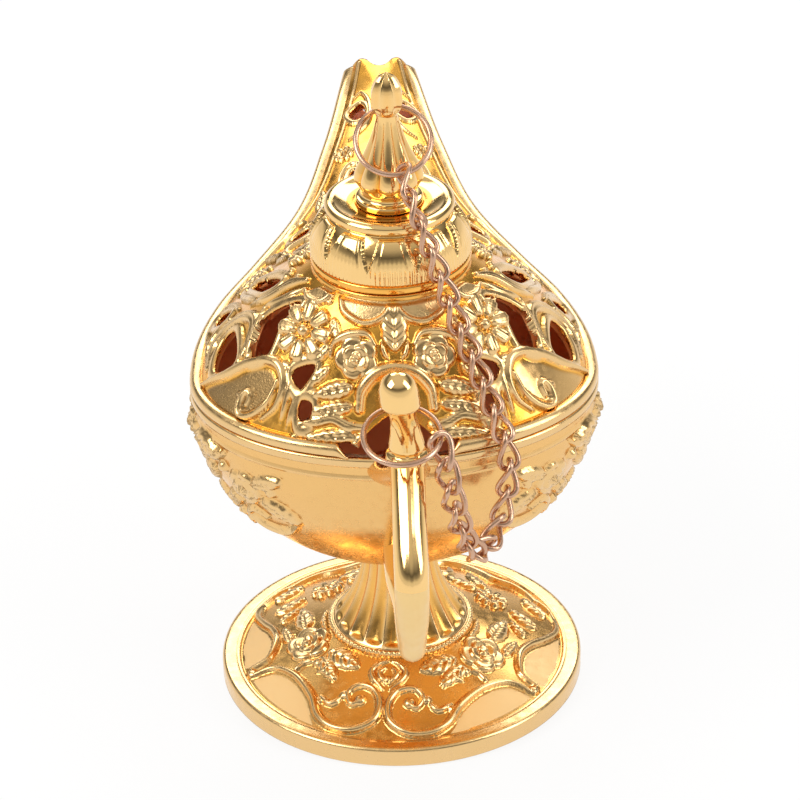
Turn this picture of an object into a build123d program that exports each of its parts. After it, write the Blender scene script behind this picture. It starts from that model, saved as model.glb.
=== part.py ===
"""Genie oil lamp: a cast, gilded ornamental lamp on a fluted foot, with a pierced cover and a chained lid.

The lamp stands on Z = 0 with its foot centred on the origin. The spout points along +Y, the handle along -Y.
"""

import os
from math import atan2, ceil, cos, pi, radians, sin, sqrt

from build123d import *

# Driving dimensions, in millimetres and degrees

# Foot and stem, one casting
foot_radius = 25.0
foot_edge_height = 2.8
foot_edge_bevel = 0.6
foot_border_width = 2.6
foot_border_step = 0.35
foot_rest_width = 2.2
foot_wall = 1.7
stem_base_radius = 9.3
stem_base_height = 8.2
stem_ring_width = 0.7
stem_ring_height = 0.9
stem_waist_radius = 4.9
stem_height = 20.5
stem_wall = 1.4
stem_seat_radius = 3.3
stem_seat_thickness = 2.5
flute_count = 20
flute_land = 0.5
flute_depth = 0.4
flare_sections = 5

# Screw and washer that hold the foot to the bowl
screw_radius = 1.5
screw_head_radius = 2.6
screw_head_height = 1.8
screw_slot_width = 0.8
screw_slot_depth = 0.8
screw_reach = 3.6
screw_clearance = 0.15
thread_clearance = 0.05
washer_radius = 3.0
washer_thickness = 0.5

# Bowl and cover, which meet at one rim
body_rear_reach = 21.0
bowl_wall = 1.6
bowl_band_height = 1.4
bowl_band_proud = 0.6
bowl_boss_radius = 4.6
bowl_boss_height = 4.6
seam_gap = 0.1
fit_gap = 0.05
cover_wall = 1.4
cover_band_height = 1.6
cover_band_width = 1.5
neck_radius = 10.4
neck_bore_radius = 8.6
neck_height = 64.4
neck_length = 3.6

# Stations from the body's middle to the tip of the spout:
# distance forward, half width, rim height, depth of the bowl and rise of the cover
stations = [
    (0.0, 27.4, 46.0, 26.5, 19.5),
    (10.0, 26.4, 46.3, 25.4, 16.1),
    (18.0, 23.6, 47.2, 22.7, 10.6),
    (26.0, 18.8, 48.7, 19.6, 6.6),
    (36.0, 13.1, 50.9, 15.5, 3.9),
    (50.0, 8.8, 54.4, 11.0, 2.2),
    (66.0, 5.4, 58.4, 7.4, 1.2),
]
loft_distances = (0, 5, 10, 14, 18, 22, 26, 31, 36, 43, 50, 58, 66)
bowl_facets = 9
cover_shares = (1.0, 0.88, 0.76, 0.64, 0.52)
crown_shares = (0.2, 0.0)
mouth_overrun = 0.6
bowl_clear_above = 3.0
tip_notch_radius = 2.4
tip_notch_depth = 0.8

# Arched notch in the rear of the cover, round the root of the handle
notch_half_width = 6.6
notch_height = 5.6

# Piercings of the cover, seen from above on the +X side and mirrored to -X
piercings = [
    [(23.5, -4.0), (23.4, -1.0), (22.2, 0.4), (20.9, -1.0), (20.8, -5.8)],
    [(18.6, -7.4), (16.8, -4.2), (12.0, -6.2), (14.4, -6.9), (16.3, -8.9)],
    [(13.3, -12.5), (10.4, -13.3), (12.4, -14.1)],
    [(11.0, -15.7), (12.3, -15.0), (12.7, -15.9), (11.6, -16.4)],
    [(14.5, 0.8), (17.2, 7.4), (18.4, 8.6), (16.9, 2.2)],
    [(21.4, 7.4), (23.0, 11.2), (23.6, 9.4), (22.4, 6.2)],
    [(8.6, 15.0), (10.4, 19.4), (12.2, 16.0), (10.2, 12.8)],
    [(10.8, 28.2), (12.8, 27.6), (13.2, 25.6), (11.4, 25.8)],
    [(3.4, 23.0), (4.4, 27.5), (6.2, 24.6), (5.0, 21.8)],
    [(3.2, 37.0), (4.4, 41.0), (5.4, 37.4), (4.2, 35.0)],
    [(2.4, 54.4), (3.0, 56.6), (4.6, 55.2), (3.6, 53.2)],
]
piercing_depth = 3.0

# Cast ornament on the cover, seen from above on the +X side: flowers as x, y and radius, leaves as base,
# tip and half width, bars of strapwork as routes. The left ones are only on -X, clear of the chain
free_flowers = [(11.4, 5.2, 2.6), (6.0, 12.6, 2.6), (17.4, 13.4, 2.2)]
left_flowers = [(11.7, -9.7, 3.5), (5.0, -14.2, 2.7)]
free_leaves = [
    ((13.4, 12.0), (15.0, 17.6), 1.2),
    ((20.6, 13.2), (17.0, 19.0), 1.2),
    ((3.4, 11.2), (0.8, 16.2), 1.3),
    ((8.0, 20.6), (6.6, 16.0), 1.0),
]
left_leaves = [((10.2, -15.2), (5.4, -15.9), 1.0), ((12.4, -15.9), (6.4, -17.3), 1.1)]
spine_leaves = [
    ((0.0, 22.0), (0.0, 30.5), 1.2),
    ((0.0, 40.0), (0.0, 50.0), 1.3),
    ((0.0, 52.0), (0.0, 63.0), 1.2),
]
free_bars = [
    [(24.6, -1.6), (23.6, 1.8), (21.7, 2.1), (19.6, 0.2), (18.3, -2.2), (18.9, -5.0)],
    [(11.0, -3.3), (13.2, -1.8), (16.1, -0.9), (18.6, 1.5)],
    [(20.4, 5.0), (20.6, 7.6), (21.2, 10.6), (22.3, 13.0)],
    [(1.2, 20.0), (3.0, 19.0), (5.0, 19.6), (6.6, 22.0), (7.2, 25.2), (6.2, 28.4), (4.4, 29.6)],
    [(14.6, 19.4), (13.6, 22.6), (10.8, 24.0), (9.0, 26.4), (9.2, 29.2)],
    [(7.4, 31.0), (6.0, 33.6), (2.6, 34.0), (1.6, 37.0), (2.4, 41.0), (4.6, 42.8)],
]
left_bars = [
    [(25.4, -3.2), (21.9, -6.3), (19.0, -7.9), (16.4, -9.6), (14.9, -11.2), (14.6, -12.8), (15.7, -13.8)],
]

# Cast ornament on the bowl's flanks, placed by mm forward (less than 0 is behind) and degrees below the rim
bowl_flowers = [(2.0, 20.6, 4.4), (-16.0, 17.2, 2.8), (20.0, 19.5, 3.4), (-8.0, 35.5, 2.8)]
bowl_leaves = [
    ((-3.0, 23.0), (-9.0, 16.0), 1.7),
    ((7.0, 19.5), (14.0, 12.6), 1.7),
    ((6.0, 25.2), (13.0, 27.5), 1.7),
    ((2.0, 31.0), (3.0, 43.5), 1.8),
    ((24.0, 18.3), (31.0, 17.2), 1.5),
    ((21.0, 26.4), (26.0, 34.4), 1.5),
    ((-19.0, 19.5), (-24.0, 26.4), 1.4),
]
bowl_bars = [
    [(-24.0, 26.4), (-21.0, 33.2), (-16.0, 34.4), (-14.0, 29.8)],
    [(-7.0, 42.4), (-2.0, 49.3), (4.0, 50.4), (9.0, 44.7), (8.0, 39.0)],
    [(13.0, 33.2), (17.0, 37.8), (22.0, 40.1), (27.0, 36.7), (28.0, 30.9)],
]
bowl_rear_turn = 38.0
ornament_root = 0.6
face_step = 0.2
ornament_height = 0.9
flower_sides = 8
flower_crown = 0.6
leaf_crown = 0.35
bar_half_width = 0.75
bar_crown = 0.3

# Ornament cast on the foot's plate, as flowers, leaves and bars on both sides of an axis of its own
foot_turn = -9.5
foot_flowers = [(12.0, -5.8, 3.0), (11.6, 8.4, 2.5)]
foot_leaves = [
    ((8.8, -8.2), (4.2, -11.4), 1.5),
    ((13.6, -1.6), (14.2, 3.0), 1.3),
    ((18.4, 4.0), (14.4, 6.6), 1.2),
    ((19.2, 8.2), (15.6, 11.6), 1.2),
    ((9.2, 10.4), (4.8, 12.8), 1.2),
    ((9.4, 12.4), (7.2, 16.4), 1.0),
]
foot_bars = [
    [(15.4, -9.6), (12.7, -11.8), (10.2, -15.4), (8.9, -18.0)],
    [(17.6, -6.6), (16.9, -3.4), (17.9, -0.6), (19.3, 1.6)],
    [(3.6, -20.0), (2.0, -18.2), (1.8, -15.6), (2.3, -13.4)],
    [(14.6, 14.4), (11.6, 15.6), (9.6, 17.4), (6.6, 19.4)],
]

# Lid
lid_gap = 0.2
lid_radius = 10.6
lid_profile = [(1.1, 10.3), (3.0, 10.25), (4.8, 9.75), (6.2, 8.95), (7.2, 8.0)]
lid_ring_radius = 8.6
lid_ring_height = 1.7
lid_ring_bevel = 0.5
lid_dish_radius = 7.3
lid_dish_depth = 0.5
lid_wall = 1.3
spigot_depth = 3.0
spigot_clearance = 0.25

# Finial, with a stud through the lid and a nut inside it
finial_base_radius = 4.45
finial_base_edge = 0.9
finial_base_height = 2.0
finial_cove_radius = 3.6
bulb_profile = [(0.0, 3.9), (1.5, 4.5), (3.6, 4.2), (6.4, 2.9), (9.4, 2.0)]
bulb_flute_count = 8
bulb_flute_depth = 0.3
finial_waist_radius = 1.45
finial_waist_height = 1.5
bud_profile = [(0.0, 1.6), (0.5, 2.0), (1.9, 2.3), (3.6, 1.8), (5.6, 0.4)]
bud_sides = 8
stud_radius = 1.4
stud_clearance = 0.15
stud_end = 0.6
nut_across_flats = 5.0
nut_thickness = 2.0

# Handle, in the lamp's middle plane: distance back from the axis, and height
handle_radius = 2.2
handle_sides = 8
handle_spans = 18
handle_points = [(13.0, 29.0), (36.5, 25.6), (45.5, 38.5), (31.2, 52.0), (31.2, 54.5)]
handle_bends = [7.0, 7.0, 5.0]
handle_collar_radius = 2.7
handle_collar_height = 52.3
handle_collar_thickness = 1.2
handle_waist_radius = 1.7
knob_bottom = 59.3
knob_radius = 2.5
knob_height = 5.4
knob_side_height = 2.6
knob_shoulder_radius = 1.6
knob_shoulder_height = 4.6
arm_sections = [(18.5, 43.4, 4.6, 2.5), (24.5, 46.2, 2.6, 2.0), (31.2, 52.0, 1.6, 1.6)]
peg_radius = 1.2
peg_reach = 3.4

# Wire rings, each split where the wire's ends meet
wire_radius = 0.39
wire_sides = 6
ring_radius = 4.85
ring_split_angle = 3.0
ring_spans = 24
finial_ring_centre = (0.7, -1.6, 82.5)
finial_ring_slope = 39.0
finial_hook_angle = 15.0
handle_ring_centre = (0.3, -33.0, 57.0)
handle_ring_slope = 18.0
handle_hook_angle = 75.0

# Chain of twisted links, and the route that it hangs along between the two rings
link_half_length = 2.5
link_half_width = 1.3
link_twist = 0.75
link_slack = 0.3
link_sides = 5
link_spans = 6
chain_facing = (0.75, -0.6, 0.25)
turning_links = 4
chain_points = [
    (3.0, -9.0, 76.2),
    (4.9, -10.9, 71.4),
    (6.9, -11.4, 65.2),
    (8.8, -13.1, 60.2),
    (10.6, -15.1, 56.0),
    (12.1, -16.9, 52.2),
    (13.5, -18.9, 49.0),
    (14.4, -20.3, 45.0),
    (14.0, -21.0, 40.9),
    (13.2, -22.4, 37.7),
    (11.7, -25.1, 35.7),
    (10.0, -28.2, 35.9),
    (8.4, -31.0, 39.2),
    (7.1, -33.1, 44.8),
    (6.0, -34.4, 51.3),
]

# Values worked out from the sizes above
body_half_width, rim_height, bowl_depth, cover_rise = stations[0][1:]
tip_distance, tip_rim = stations[-1][0], stations[-1][2]
plate_radius = foot_radius - foot_border_width
plate_height = foot_edge_height - foot_border_step
stem_ring_radius = stem_base_radius + stem_ring_width
plate_top = stem_base_height - stem_ring_height
stem_spread = stem_base_radius - stem_waist_radius
stem_drop = stem_height - stem_base_height
flare_radius = (stem_spread**2 + stem_drop**2) / (2 * stem_spread)
flare_angle = atan2(stem_drop, flare_radius - stem_spread)
seat_height = stem_height - stem_seat_thickness
lid_bottom = neck_height + lid_gap
lid_shoulder_height = lid_bottom + lid_profile[-1][0]
lid_top = lid_shoulder_height + lid_ring_height
finial_bottom = lid_top - lid_dish_depth
lid_ceiling = finial_bottom - lid_wall
spigot_radius = neck_bore_radius - spigot_clearance
bulb_bottom = finial_bottom + finial_base_height
bulb_top = bulb_bottom + bulb_profile[-1][0]
bud_bottom = bulb_top + finial_waist_height
link_pitch = 2 * link_half_length - 2 * wire_radius - link_slack
hook_depth = (2 * link_half_length - link_pitch) / 2
backwards = Axis((0, 0, 0), (0, 0, -1))
handle_plane = Plane(origin=(0, 0, 0), x_dir=(0, -1, 0), z_dir=(-1, 0, 0))


def frontal_plane(distance, height):
    """Upright plane across the lamp, with its X along +X and its Y along +Z."""
    return Plane(origin=(0, distance, height), x_dir=(1, 0, 0), z_dir=(0, -1, 0))


def joined(*pieces):
    """One part fused from several."""
    with BuildPart() as whole:
        for piece in pieces:
            add(piece)
    return whole.part


def station_slope(index, column):
    """Slope of a station value at a station, level at the first."""
    if index == 0:
        return 0
    here, before = stations[index], stations[index - 1]
    back = here[0] - before[0]
    back_slope = (here[column] - before[column]) / back
    if index == len(stations) - 1:
        return back_slope
    after = stations[index + 1]
    ahead = after[0] - here[0]
    ahead_slope = (after[column] - here[column]) / ahead
    return (ahead * back_slope + back * ahead_slope) / (back + ahead)


def station_at(distance):
    """Half width, rim height, depth and rise at a distance forward, on a cubic through the stations."""
    index = max(number for number, station in enumerate(stations[:-1]) if station[0] <= distance)
    near, far = stations[index], stations[index + 1]
    run = far[0] - near[0]
    share = (distance - near[0]) / run
    values = []
    for column in range(1, len(near)):
        value = near[column] * (1 + 2 * share) * (1 - share) ** 2 + far[column] * share**2 * (3 - 2 * share)
        value += run * station_slope(index, column) * share * (1 - share) ** 2
        value += run * station_slope(index + 1, column) * share**2 * (share - 1)
        values.append(value)
    return values


def loft_stations(overrun=0.0):
    """Stations of the lofts, stretched so that the last lies beyond the tip by overrun."""
    return [(distance * (1 + overrun / tip_distance), *station_at(distance)) for distance in loft_distances]


def rim_slab(bottom, top, grow=0.0):
    """Slab in the outline of the rim, between two heights measured from the rim."""
    with BuildPart() as front:
        for distance, half_width, rim, depth, rise in loft_stations():
            with BuildSketch(frontal_plane(distance, rim)):
                with Locations((0, (bottom + top) / 2)):
                    Rectangle(2 * (half_width + grow), top - bottom)
        loft(ruled=True)
    across = body_half_width + grow
    with BuildPart() as rear:
        with BuildSketch(Plane.XY.offset(rim_height + bottom)):
            with BuildLine():
                EllipticalCenterArc((0, 0), across, body_rear_reach + grow, 180, arc_size=180)
                Line((across, 0), (-across, 0))
            make_face()
        extrude(amount=top - bottom)
    return joined(front.part, rear.part)


def bowl_form(inset, overrun, top):
    """The bowl's rounded form, drawn in by inset and carried straight up to a height above the rim."""
    turns = [pi / 2 * step / bowl_facets for step in range(-bowl_facets, bowl_facets + 1)]
    with BuildPart() as front:
        for distance, half_width, rim, depth, rise in loft_stations(overrun):
            across = half_width - bowl_band_proud - inset
            deep = depth - bowl_band_height - inset
            with BuildSketch(frontal_plane(distance, rim - bowl_band_height)):
                with BuildLine():
                    Polyline(
                        *[(across * sin(turn), -deep * cos(turn)) for turn in turns],
                        (across, bowl_band_height + top),
                        (-across, bowl_band_height + top),
                        close=True,
                    )
                make_face()
        loft(ruled=True)
    across = body_half_width - bowl_band_proud - inset
    back = body_rear_reach - bowl_band_proud - inset
    deep = bowl_depth - bowl_band_height - inset
    band_bottom = rim_height - bowl_band_height
    with BuildPart() as rear:
        with BuildSketch(Plane.XZ):
            with BuildLine():
                Polyline(
                    *[(across * sin(turn), band_bottom - deep * cos(turn)) for turn in turns if turn >= 0],
                    (across, rim_height + top),
                    (0, rim_height + top),
                    close=True,
                )
            make_face()
        revolve(axis=backwards, revolution_arc=180)
        scale(by=(1, back / across, 1), about=(0, 0, 0))
    return joined(front.part, rear.part)


def rear_section(level, across, back, neck):
    """Half width and rear reach of the cover at a level of its rise, round at the neck."""
    half_width = across * sqrt(1 - level)
    share = (half_width - neck) / (across - neck)
    return half_width, neck + (back - neck) * share


def cover_form(inset, base, overrun):
    """The cover's arched form, drawn in by inset, from a height above the rim."""
    across = body_half_width - cover_band_width - inset
    back = body_rear_reach - cover_band_width - inset
    neck = neck_radius - inset
    shares = [*cover_shares, neck / across]
    half_arch = [*shares, *crown_shares]
    arch = [-share for share in half_arch] + half_arch[-2::-1]
    with BuildPart() as front:
        for distance, half_width, rim, depth, rise in loft_stations(overrun):
            reach = half_width - cover_band_width - inset
            crown = cover_band_height + rise - inset - base
            with BuildSketch(frontal_plane(distance, rim + base)):
                with BuildLine():
                    Polyline(*[(reach * share, crown * (1 - share**2)) for share in arch], close=True)
                make_face()
        loft(ruled=True)
    crown = cover_band_height + cover_rise - inset - base
    with BuildPart() as rear:
        for share in shares:
            half_width, reach = rear_section(1 - share**2, across, back, neck)
            with BuildSketch(Plane.XY.offset(rim_height + base + (1 - share**2) * crown)):
                with BuildLine():
                    EllipticalCenterArc((0, 0), half_width, reach, 180, arc_size=180)
                    Line((half_width, 0), (-half_width, 0))
                make_face()
        loft(ruled=True)
    return joined(front.part, rear.part)


def cover_point(x, y):
    """Point of the cover's outer face above a point in plan."""
    if y >= 0:
        half_width, rim, depth, rise = station_at(y)
        across = half_width - cover_band_width
        return Vector(x, y, rim + cover_band_height + rise * (1 - (x / across) ** 2))
    across = body_half_width - cover_band_width
    back = body_rear_reach - cover_band_width
    low, high = 0.0, 1.0
    for halving in range(30):
        level = (low + high) / 2
        half_width, reach = rear_section(level, across, back, neck_radius)
        inside = (x / half_width) ** 2 + (y / reach) ** 2 < 1 if reach > 0 else False
        low, high = (level, high) if inside else (low, level)
    return Vector(x, y, rim_height + cover_band_height + low * cover_rise)


def bowl_point(forward, fall):
    """Point of the bowl's outer face, mm forward or round the rear, and degrees below the rim."""
    half_width, rim, depth, rise = station_at(max(forward, 0))
    across = (half_width - bowl_band_proud) * cos(radians(fall))
    height = rim - bowl_band_height - (depth - bowl_band_height) * sin(radians(fall))
    if forward >= 0:
        return Vector(across, forward, height)
    turn = -forward / bowl_rear_turn * pi / 2
    back = (body_rear_reach - bowl_band_proud) * cos(radians(fall))
    return Vector(across * cos(turn), -back * sin(turn), height)


def plate_point(x, y):
    """Point of the sloped top of the foot's plate."""
    share = (sqrt(x * x + y * y) - stem_ring_radius) / (plate_radius - stem_ring_radius)
    return Vector(x, y, plate_top + share * (plate_height - plate_top))


def resting_plane(place, first, second):
    """Plane that lies on the outer face that place describes, at two coordinates of it."""
    along = place(first + face_step, second) - place(first - face_step, second)
    across = place(first, second + face_step) - place(first, second - face_step)
    normal = along.cross(across)
    point = place(first, second)
    heart_height = stem_height + bowl_depth if point.Z > stem_height else 0
    if normal.dot(point - Vector(0, point.Y, heart_height)) < 0:
        normal = -1 * normal
    return Plane(origin=point, x_dir=along, z_dir=normal)


def flower(place, first, second, radius):
    """Low boss for a cast flower, rooted in the face that carries it."""
    face = resting_plane(place, first, second)
    with BuildPart() as boss:
        for height, share in ((-ornament_root, 1), (0, 1), (ornament_height, flower_crown)):
            with BuildSketch(face.offset(height)):
                RegularPolygon(share * radius, flower_sides)
        loft(ruled=True)
    return boss.part


def leaf(place, base, tip, half_width):
    """Pointed leaf from base to tip, bevelled to a narrow back."""
    face = resting_plane(place, (base[0] + tip[0]) / 2, (base[1] + tip[1]) / 2)
    start = face.to_local_coords(place(*base))
    end = face.to_local_coords(place(*tip))
    length = sqrt((end.X - start.X) ** 2 + (end.Y - start.Y) ** 2)
    side_x = -(end.Y - start.Y) / length * half_width
    side_y = (end.X - start.X) / length * half_width
    middle_x, middle_y = (start.X + end.X) / 2, (start.Y + end.Y) / 2
    corners = [
        (start.X, start.Y),
        (middle_x - side_x, middle_y - side_y),
        (end.X, end.Y),
        (middle_x + side_x, middle_y + side_y),
    ]
    with BuildPart() as blade:
        for height, share in ((-ornament_root, 1), (ornament_height, leaf_crown)):
            with BuildSketch(face.offset(height)):
                with BuildLine():
                    Polyline(
                        *[
                            (middle_x + share * (x - middle_x), middle_y + share * (y - middle_y))
                            for x, y in corners
                        ],
                        close=True,
                    )
                make_face()
        loft(ruled=True)
    return blade.part


def bar(place, route):
    """Bar of strapwork along a route on a face, wide at its root."""
    faces = [resting_plane(place, *point) for point in route]
    with BuildPart() as strap:
        for index, face in enumerate(faces):
            before = faces[max(index - 1, 0)].origin
            after = faces[min(index + 1, len(faces) - 1)].origin
            with BuildSketch(Plane(origin=face.origin, x_dir=face.z_dir, z_dir=after - before)):
                with BuildLine():
                    Polyline(
                        (-ornament_root, -bar_half_width),
                        (ornament_height, -bar_crown),
                        (ornament_height, bar_crown),
                        (-ornament_root, bar_half_width),
                        close=True,
                    )
                make_face()
        loft(ruled=True)
    return strap.part


def mirrored(part):
    """The same part on the other side of the lamp."""
    return mirror(part, about=Plane.YZ, mode=Mode.PRIVATE)


def piercing_tool(outline):
    """Cutter for one piercing, square to the cover's face at the middle of its outline."""
    middle_x = sum(x for x, y in outline) / len(outline)
    middle_y = sum(y for x, y in outline) / len(outline)
    face = resting_plane(cover_point, middle_x, middle_y)
    corners = [face.to_local_coords(cover_point(x, y)) for x, y in outline]
    with BuildPart() as tool:
        with BuildSketch(face):
            with BuildLine():
                Polyline(*[(corner.X, corner.Y) for corner in corners], close=True)
            make_face()
        extrude(amount=piercing_depth, both=True)
    return tool.part


def fluted_outline(radius, depth, count):
    """Corners of a ring of flat lands with shallow flutes between them."""
    pitch = 2 * pi / count
    corners = []
    for index in range(count):
        for share, drop in ((-flute_land / 2, 0), (flute_land / 2, 0), (0.5, depth)):
            angle = (index + share) * pitch
            corners.append(((radius - drop) * cos(angle), (radius - drop) * sin(angle)))
    return corners


def wire_ring(centre, slope):
    """Split ring of wire that leans towards -Y, with its split on the high side."""
    lean = Plane(origin=centre, x_dir=(1, 0, 0), z_dir=(0, -sin(radians(slope)), cos(radians(slope))))
    start = 90 + ring_split_angle / 2
    with BuildPart() as ring:
        for step in range(ring_spans + 1):
            turn = radians(start + (360 - ring_split_angle) * step / ring_spans)
            outward = cos(turn) * lean.x_dir + sin(turn) * lean.y_dir
            along = lean.z_dir.cross(outward)
            with BuildSketch(Plane(lean.origin + ring_radius * outward, x_dir=outward, z_dir=along)):
                RegularPolygon(wire_radius, wire_sides)
        loft(ruled=True)
    return ring.part


def ring_hook(centre, slope, angle):
    """Point of a ring's wire, an angle towards +X from its lowest point, and the wire's direction there."""
    down = Vector(0, -cos(radians(slope)), -sin(radians(slope)))
    side = Vector(1, 0, 0)
    turn = radians(angle)
    point = Vector(*centre) + ring_radius * (cos(turn) * down + sin(turn) * side)
    return point, cos(turn) * side - sin(turn) * down


def link_wire(facing):
    """Closed loop of wire, twisted along its length, on the plane that it faces."""

    def middle(turn):
        x = link_half_length * cos(turn)
        y = link_half_width * sin(turn)
        return facing.from_local_coords(Vector(x, y, link_twist * sin(2 * turn)))

    def heading(turn):
        x = -link_half_length * sin(turn)
        y = link_half_width * cos(turn)
        ahead = facing.from_local_coords(Vector(x, y, 2 * link_twist * cos(2 * turn)))
        return ahead - facing.origin

    halves = []
    for start in (0, pi):
        with BuildPart() as half:
            for step in range(link_spans + 1):
                turn = start + pi * step / link_spans
                with BuildSketch(Plane(origin=middle(turn), x_dir=facing.z_dir, z_dir=heading(turn))):
                    RegularPolygon(wire_radius, link_sides)
            loft(ruled=True)
        halves.append(half.part)
    return joined(*halves)


# Foot: a turned plate with cast ornament and a fluted, flaring stem, hollow underneath
plate_ornament = [flower(plate_point, *spot) for spot in foot_flowers]
plate_ornament += [leaf(plate_point, *blade) for blade in foot_leaves]
plate_ornament += [bar(plate_point, route) for route in foot_bars]
with BuildPart() as foot:
    with BuildSketch(Plane.XZ):
        with BuildLine():
            Polyline(
                (0, 0),
                (0, stem_base_height),
                (stem_ring_radius, stem_base_height),
                (stem_ring_radius, plate_top),
                (plate_radius, plate_height),
                (plate_radius, foot_edge_height),
                (foot_radius, foot_edge_height),
                (foot_radius, 0),
                close=True,
            )
        make_face()
    revolve(axis=Axis.Z)
    outer_edges = foot.edges().filter_by(GeomType.CIRCLE).group_by(SortBy.RADIUS)[-1]
    chamfer(outer_edges.sort_by(Axis.Z)[-1], foot_edge_bevel)
    for piece in [*plate_ornament, *[mirrored(part) for part in plate_ornament]]:
        add(piece.rotate(Axis.Z, foot_turn))
    for section in range(flare_sections):
        angle = flare_angle * section / (flare_sections - 1)
        radius = stem_waist_radius + flare_radius * (1 - cos(angle))
        with BuildSketch(Plane.XY.offset(stem_height - flare_radius * sin(angle))):
            with BuildLine():
                Polyline(*fluted_outline(radius, flute_depth, flute_count), close=True)
            make_face()
    loft(ruled=True)
    with BuildSketch(Plane.XZ):
        with BuildLine():
            Polyline(
                (0, 0),
                (foot_radius - foot_rest_width, 0),
                (foot_radius - foot_rest_width, plate_height - foot_wall),
                (stem_base_radius - stem_wall, plate_top - foot_wall),
                (stem_seat_radius, seat_height),
                (0, seat_height),
                close=True,
            )
        make_face()
    revolve(axis=Axis.Z, mode=Mode.SUBTRACT)
    with Locations((0, 0, seat_height)):
        Cylinder(
            screw_radius + screw_clearance,
            2 * stem_seat_thickness,
            align=(Align.CENTER, Align.CENTER, Align.CENTER),
            mode=Mode.SUBTRACT,
        )
foot.part.label = "foot"

# Washer against the seat inside the stem
with BuildPart() as foot_washer:
    with BuildSketch(Plane.XY.offset(seat_height - washer_thickness)):
        Circle(washer_radius)
        Circle(screw_radius + screw_clearance, mode=Mode.SUBTRACT)
    extrude(amount=washer_thickness)
foot_washer.part.label = "foot_washer"

# Screw from below, through the washer and the stem into the bowl's boss
with BuildPart() as foot_screw:
    with BuildSketch(Plane.XY.offset(seat_height - washer_thickness)):
        Circle(screw_radius)
    extrude(amount=washer_thickness + stem_seat_thickness + screw_reach)
    with BuildSketch(Plane.XY.offset(seat_height - washer_thickness)):
        Circle(screw_head_radius)
    extrude(amount=-screw_head_height)
    with BuildSketch(Plane.XY.offset(seat_height - washer_thickness - screw_head_height)):
        Rectangle(2 * screw_head_radius, screw_slot_width)
    extrude(amount=screw_slot_depth, mode=Mode.SUBTRACT)
foot_screw.part.label = "foot_screw"

# Bowl: a thin-walled boat with a spout, a rim band and a boss for the foot's screw
bowl_outside = bowl_form(0, 0, 0)
bowl_inside = bowl_form(bowl_wall, mouth_overrun, bowl_clear_above)
bowl_band = rim_slab(-bowl_band_height, 0)
flank_ornament = [flower(bowl_point, *spot) for spot in bowl_flowers]
flank_ornament += [leaf(bowl_point, *blade) for blade in bowl_leaves]
flank_ornament += [bar(bowl_point, route) for route in bowl_bars]
with BuildPart() as bowl:
    add(bowl_outside)
    add([*flank_ornament, *[mirrored(part) for part in flank_ornament]])
    add(bowl_band)
    add(bowl_inside, mode=Mode.SUBTRACT)
    with BuildSketch(Plane.XY.offset(stem_height)):
        Circle(bowl_boss_radius)
    extrude(amount=bowl_boss_height)
    with BuildSketch(Plane.XY.offset(stem_height)):
        Circle(body_half_width)
    extrude(amount=-bowl_depth, mode=Mode.SUBTRACT)
    with BuildSketch(Plane.XY.offset(stem_height)):
        Circle(screw_radius + thread_clearance)
    extrude(amount=screw_reach + fit_gap, mode=Mode.SUBTRACT)
    for back, height in (handle_points[0], arm_sections[0][:2]):
        with BuildSketch(frontal_plane(-back + peg_reach, height)):
            Circle(peg_radius + fit_gap)
        extrude(amount=3 * peg_reach, mode=Mode.SUBTRACT)
bowl.part.label = "bowl"

# Cover: a pierced vault with a rim moulding, a neck for the lid and an arched notch at the handle
cover_outside = cover_form(0, cover_band_height, 0)
cover_inside = cover_form(cover_wall, 0, mouth_overrun)
cover_band = rim_slab(seam_gap, cover_band_height)
free_ornament = [flower(cover_point, *spot) for spot in free_flowers]
free_ornament += [leaf(cover_point, *blade) for blade in free_leaves]
free_ornament += [bar(cover_point, route) for route in free_bars]
left_ornament = [flower(cover_point, *spot) for spot in left_flowers]
left_ornament += [leaf(cover_point, *blade) for blade in left_leaves]
left_ornament += [bar(cover_point, route) for route in left_bars]
cover_ornament = [*free_ornament, *[mirrored(part) for part in free_ornament + left_ornament]]
cover_ornament += [leaf(cover_point, *blade) for blade in spine_leaves]
piercing_tools = [piercing_tool(outline) for outline in piercings]
piercing_tools += [mirrored(tool) for tool in piercing_tools]
with BuildPart() as cover:
    add(cover_outside)
    add(cover_ornament)
    add(cover_band)
    with BuildSketch(Plane.XY.offset(neck_height)):
        Circle(neck_radius)
    extrude(amount=-neck_length)
    with BuildSketch(Plane.XY.offset(neck_height)):
        Circle(body_half_width)
    extrude(amount=cover_rise, mode=Mode.SUBTRACT)
    add(cover_inside, mode=Mode.SUBTRACT)
    with BuildSketch(Plane.XY.offset(neck_height)):
        Circle(neck_bore_radius)
    extrude(amount=-cover_rise, mode=Mode.SUBTRACT)
    with BuildSketch(frontal_plane(-neck_radius, rim_height)):
        with BuildLine():
            Line((-notch_half_width, 0), (notch_half_width, 0))
            RadiusArc((notch_half_width, 0), (0, notch_height), -2 * notch_half_width)
            RadiusArc((0, notch_height), (-notch_half_width, 0), -2 * notch_half_width)
        make_face()
    extrude(amount=body_rear_reach, mode=Mode.SUBTRACT)
    with BuildSketch(Plane.XY.offset(tip_rim)):
        with Locations((0, tip_distance + tip_notch_radius - tip_notch_depth)):
            Circle(tip_notch_radius)
    extrude(amount=cover_rise, mode=Mode.SUBTRACT)
    add(piercing_tools, mode=Mode.SUBTRACT)
cover.part.label = "cover"

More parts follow.
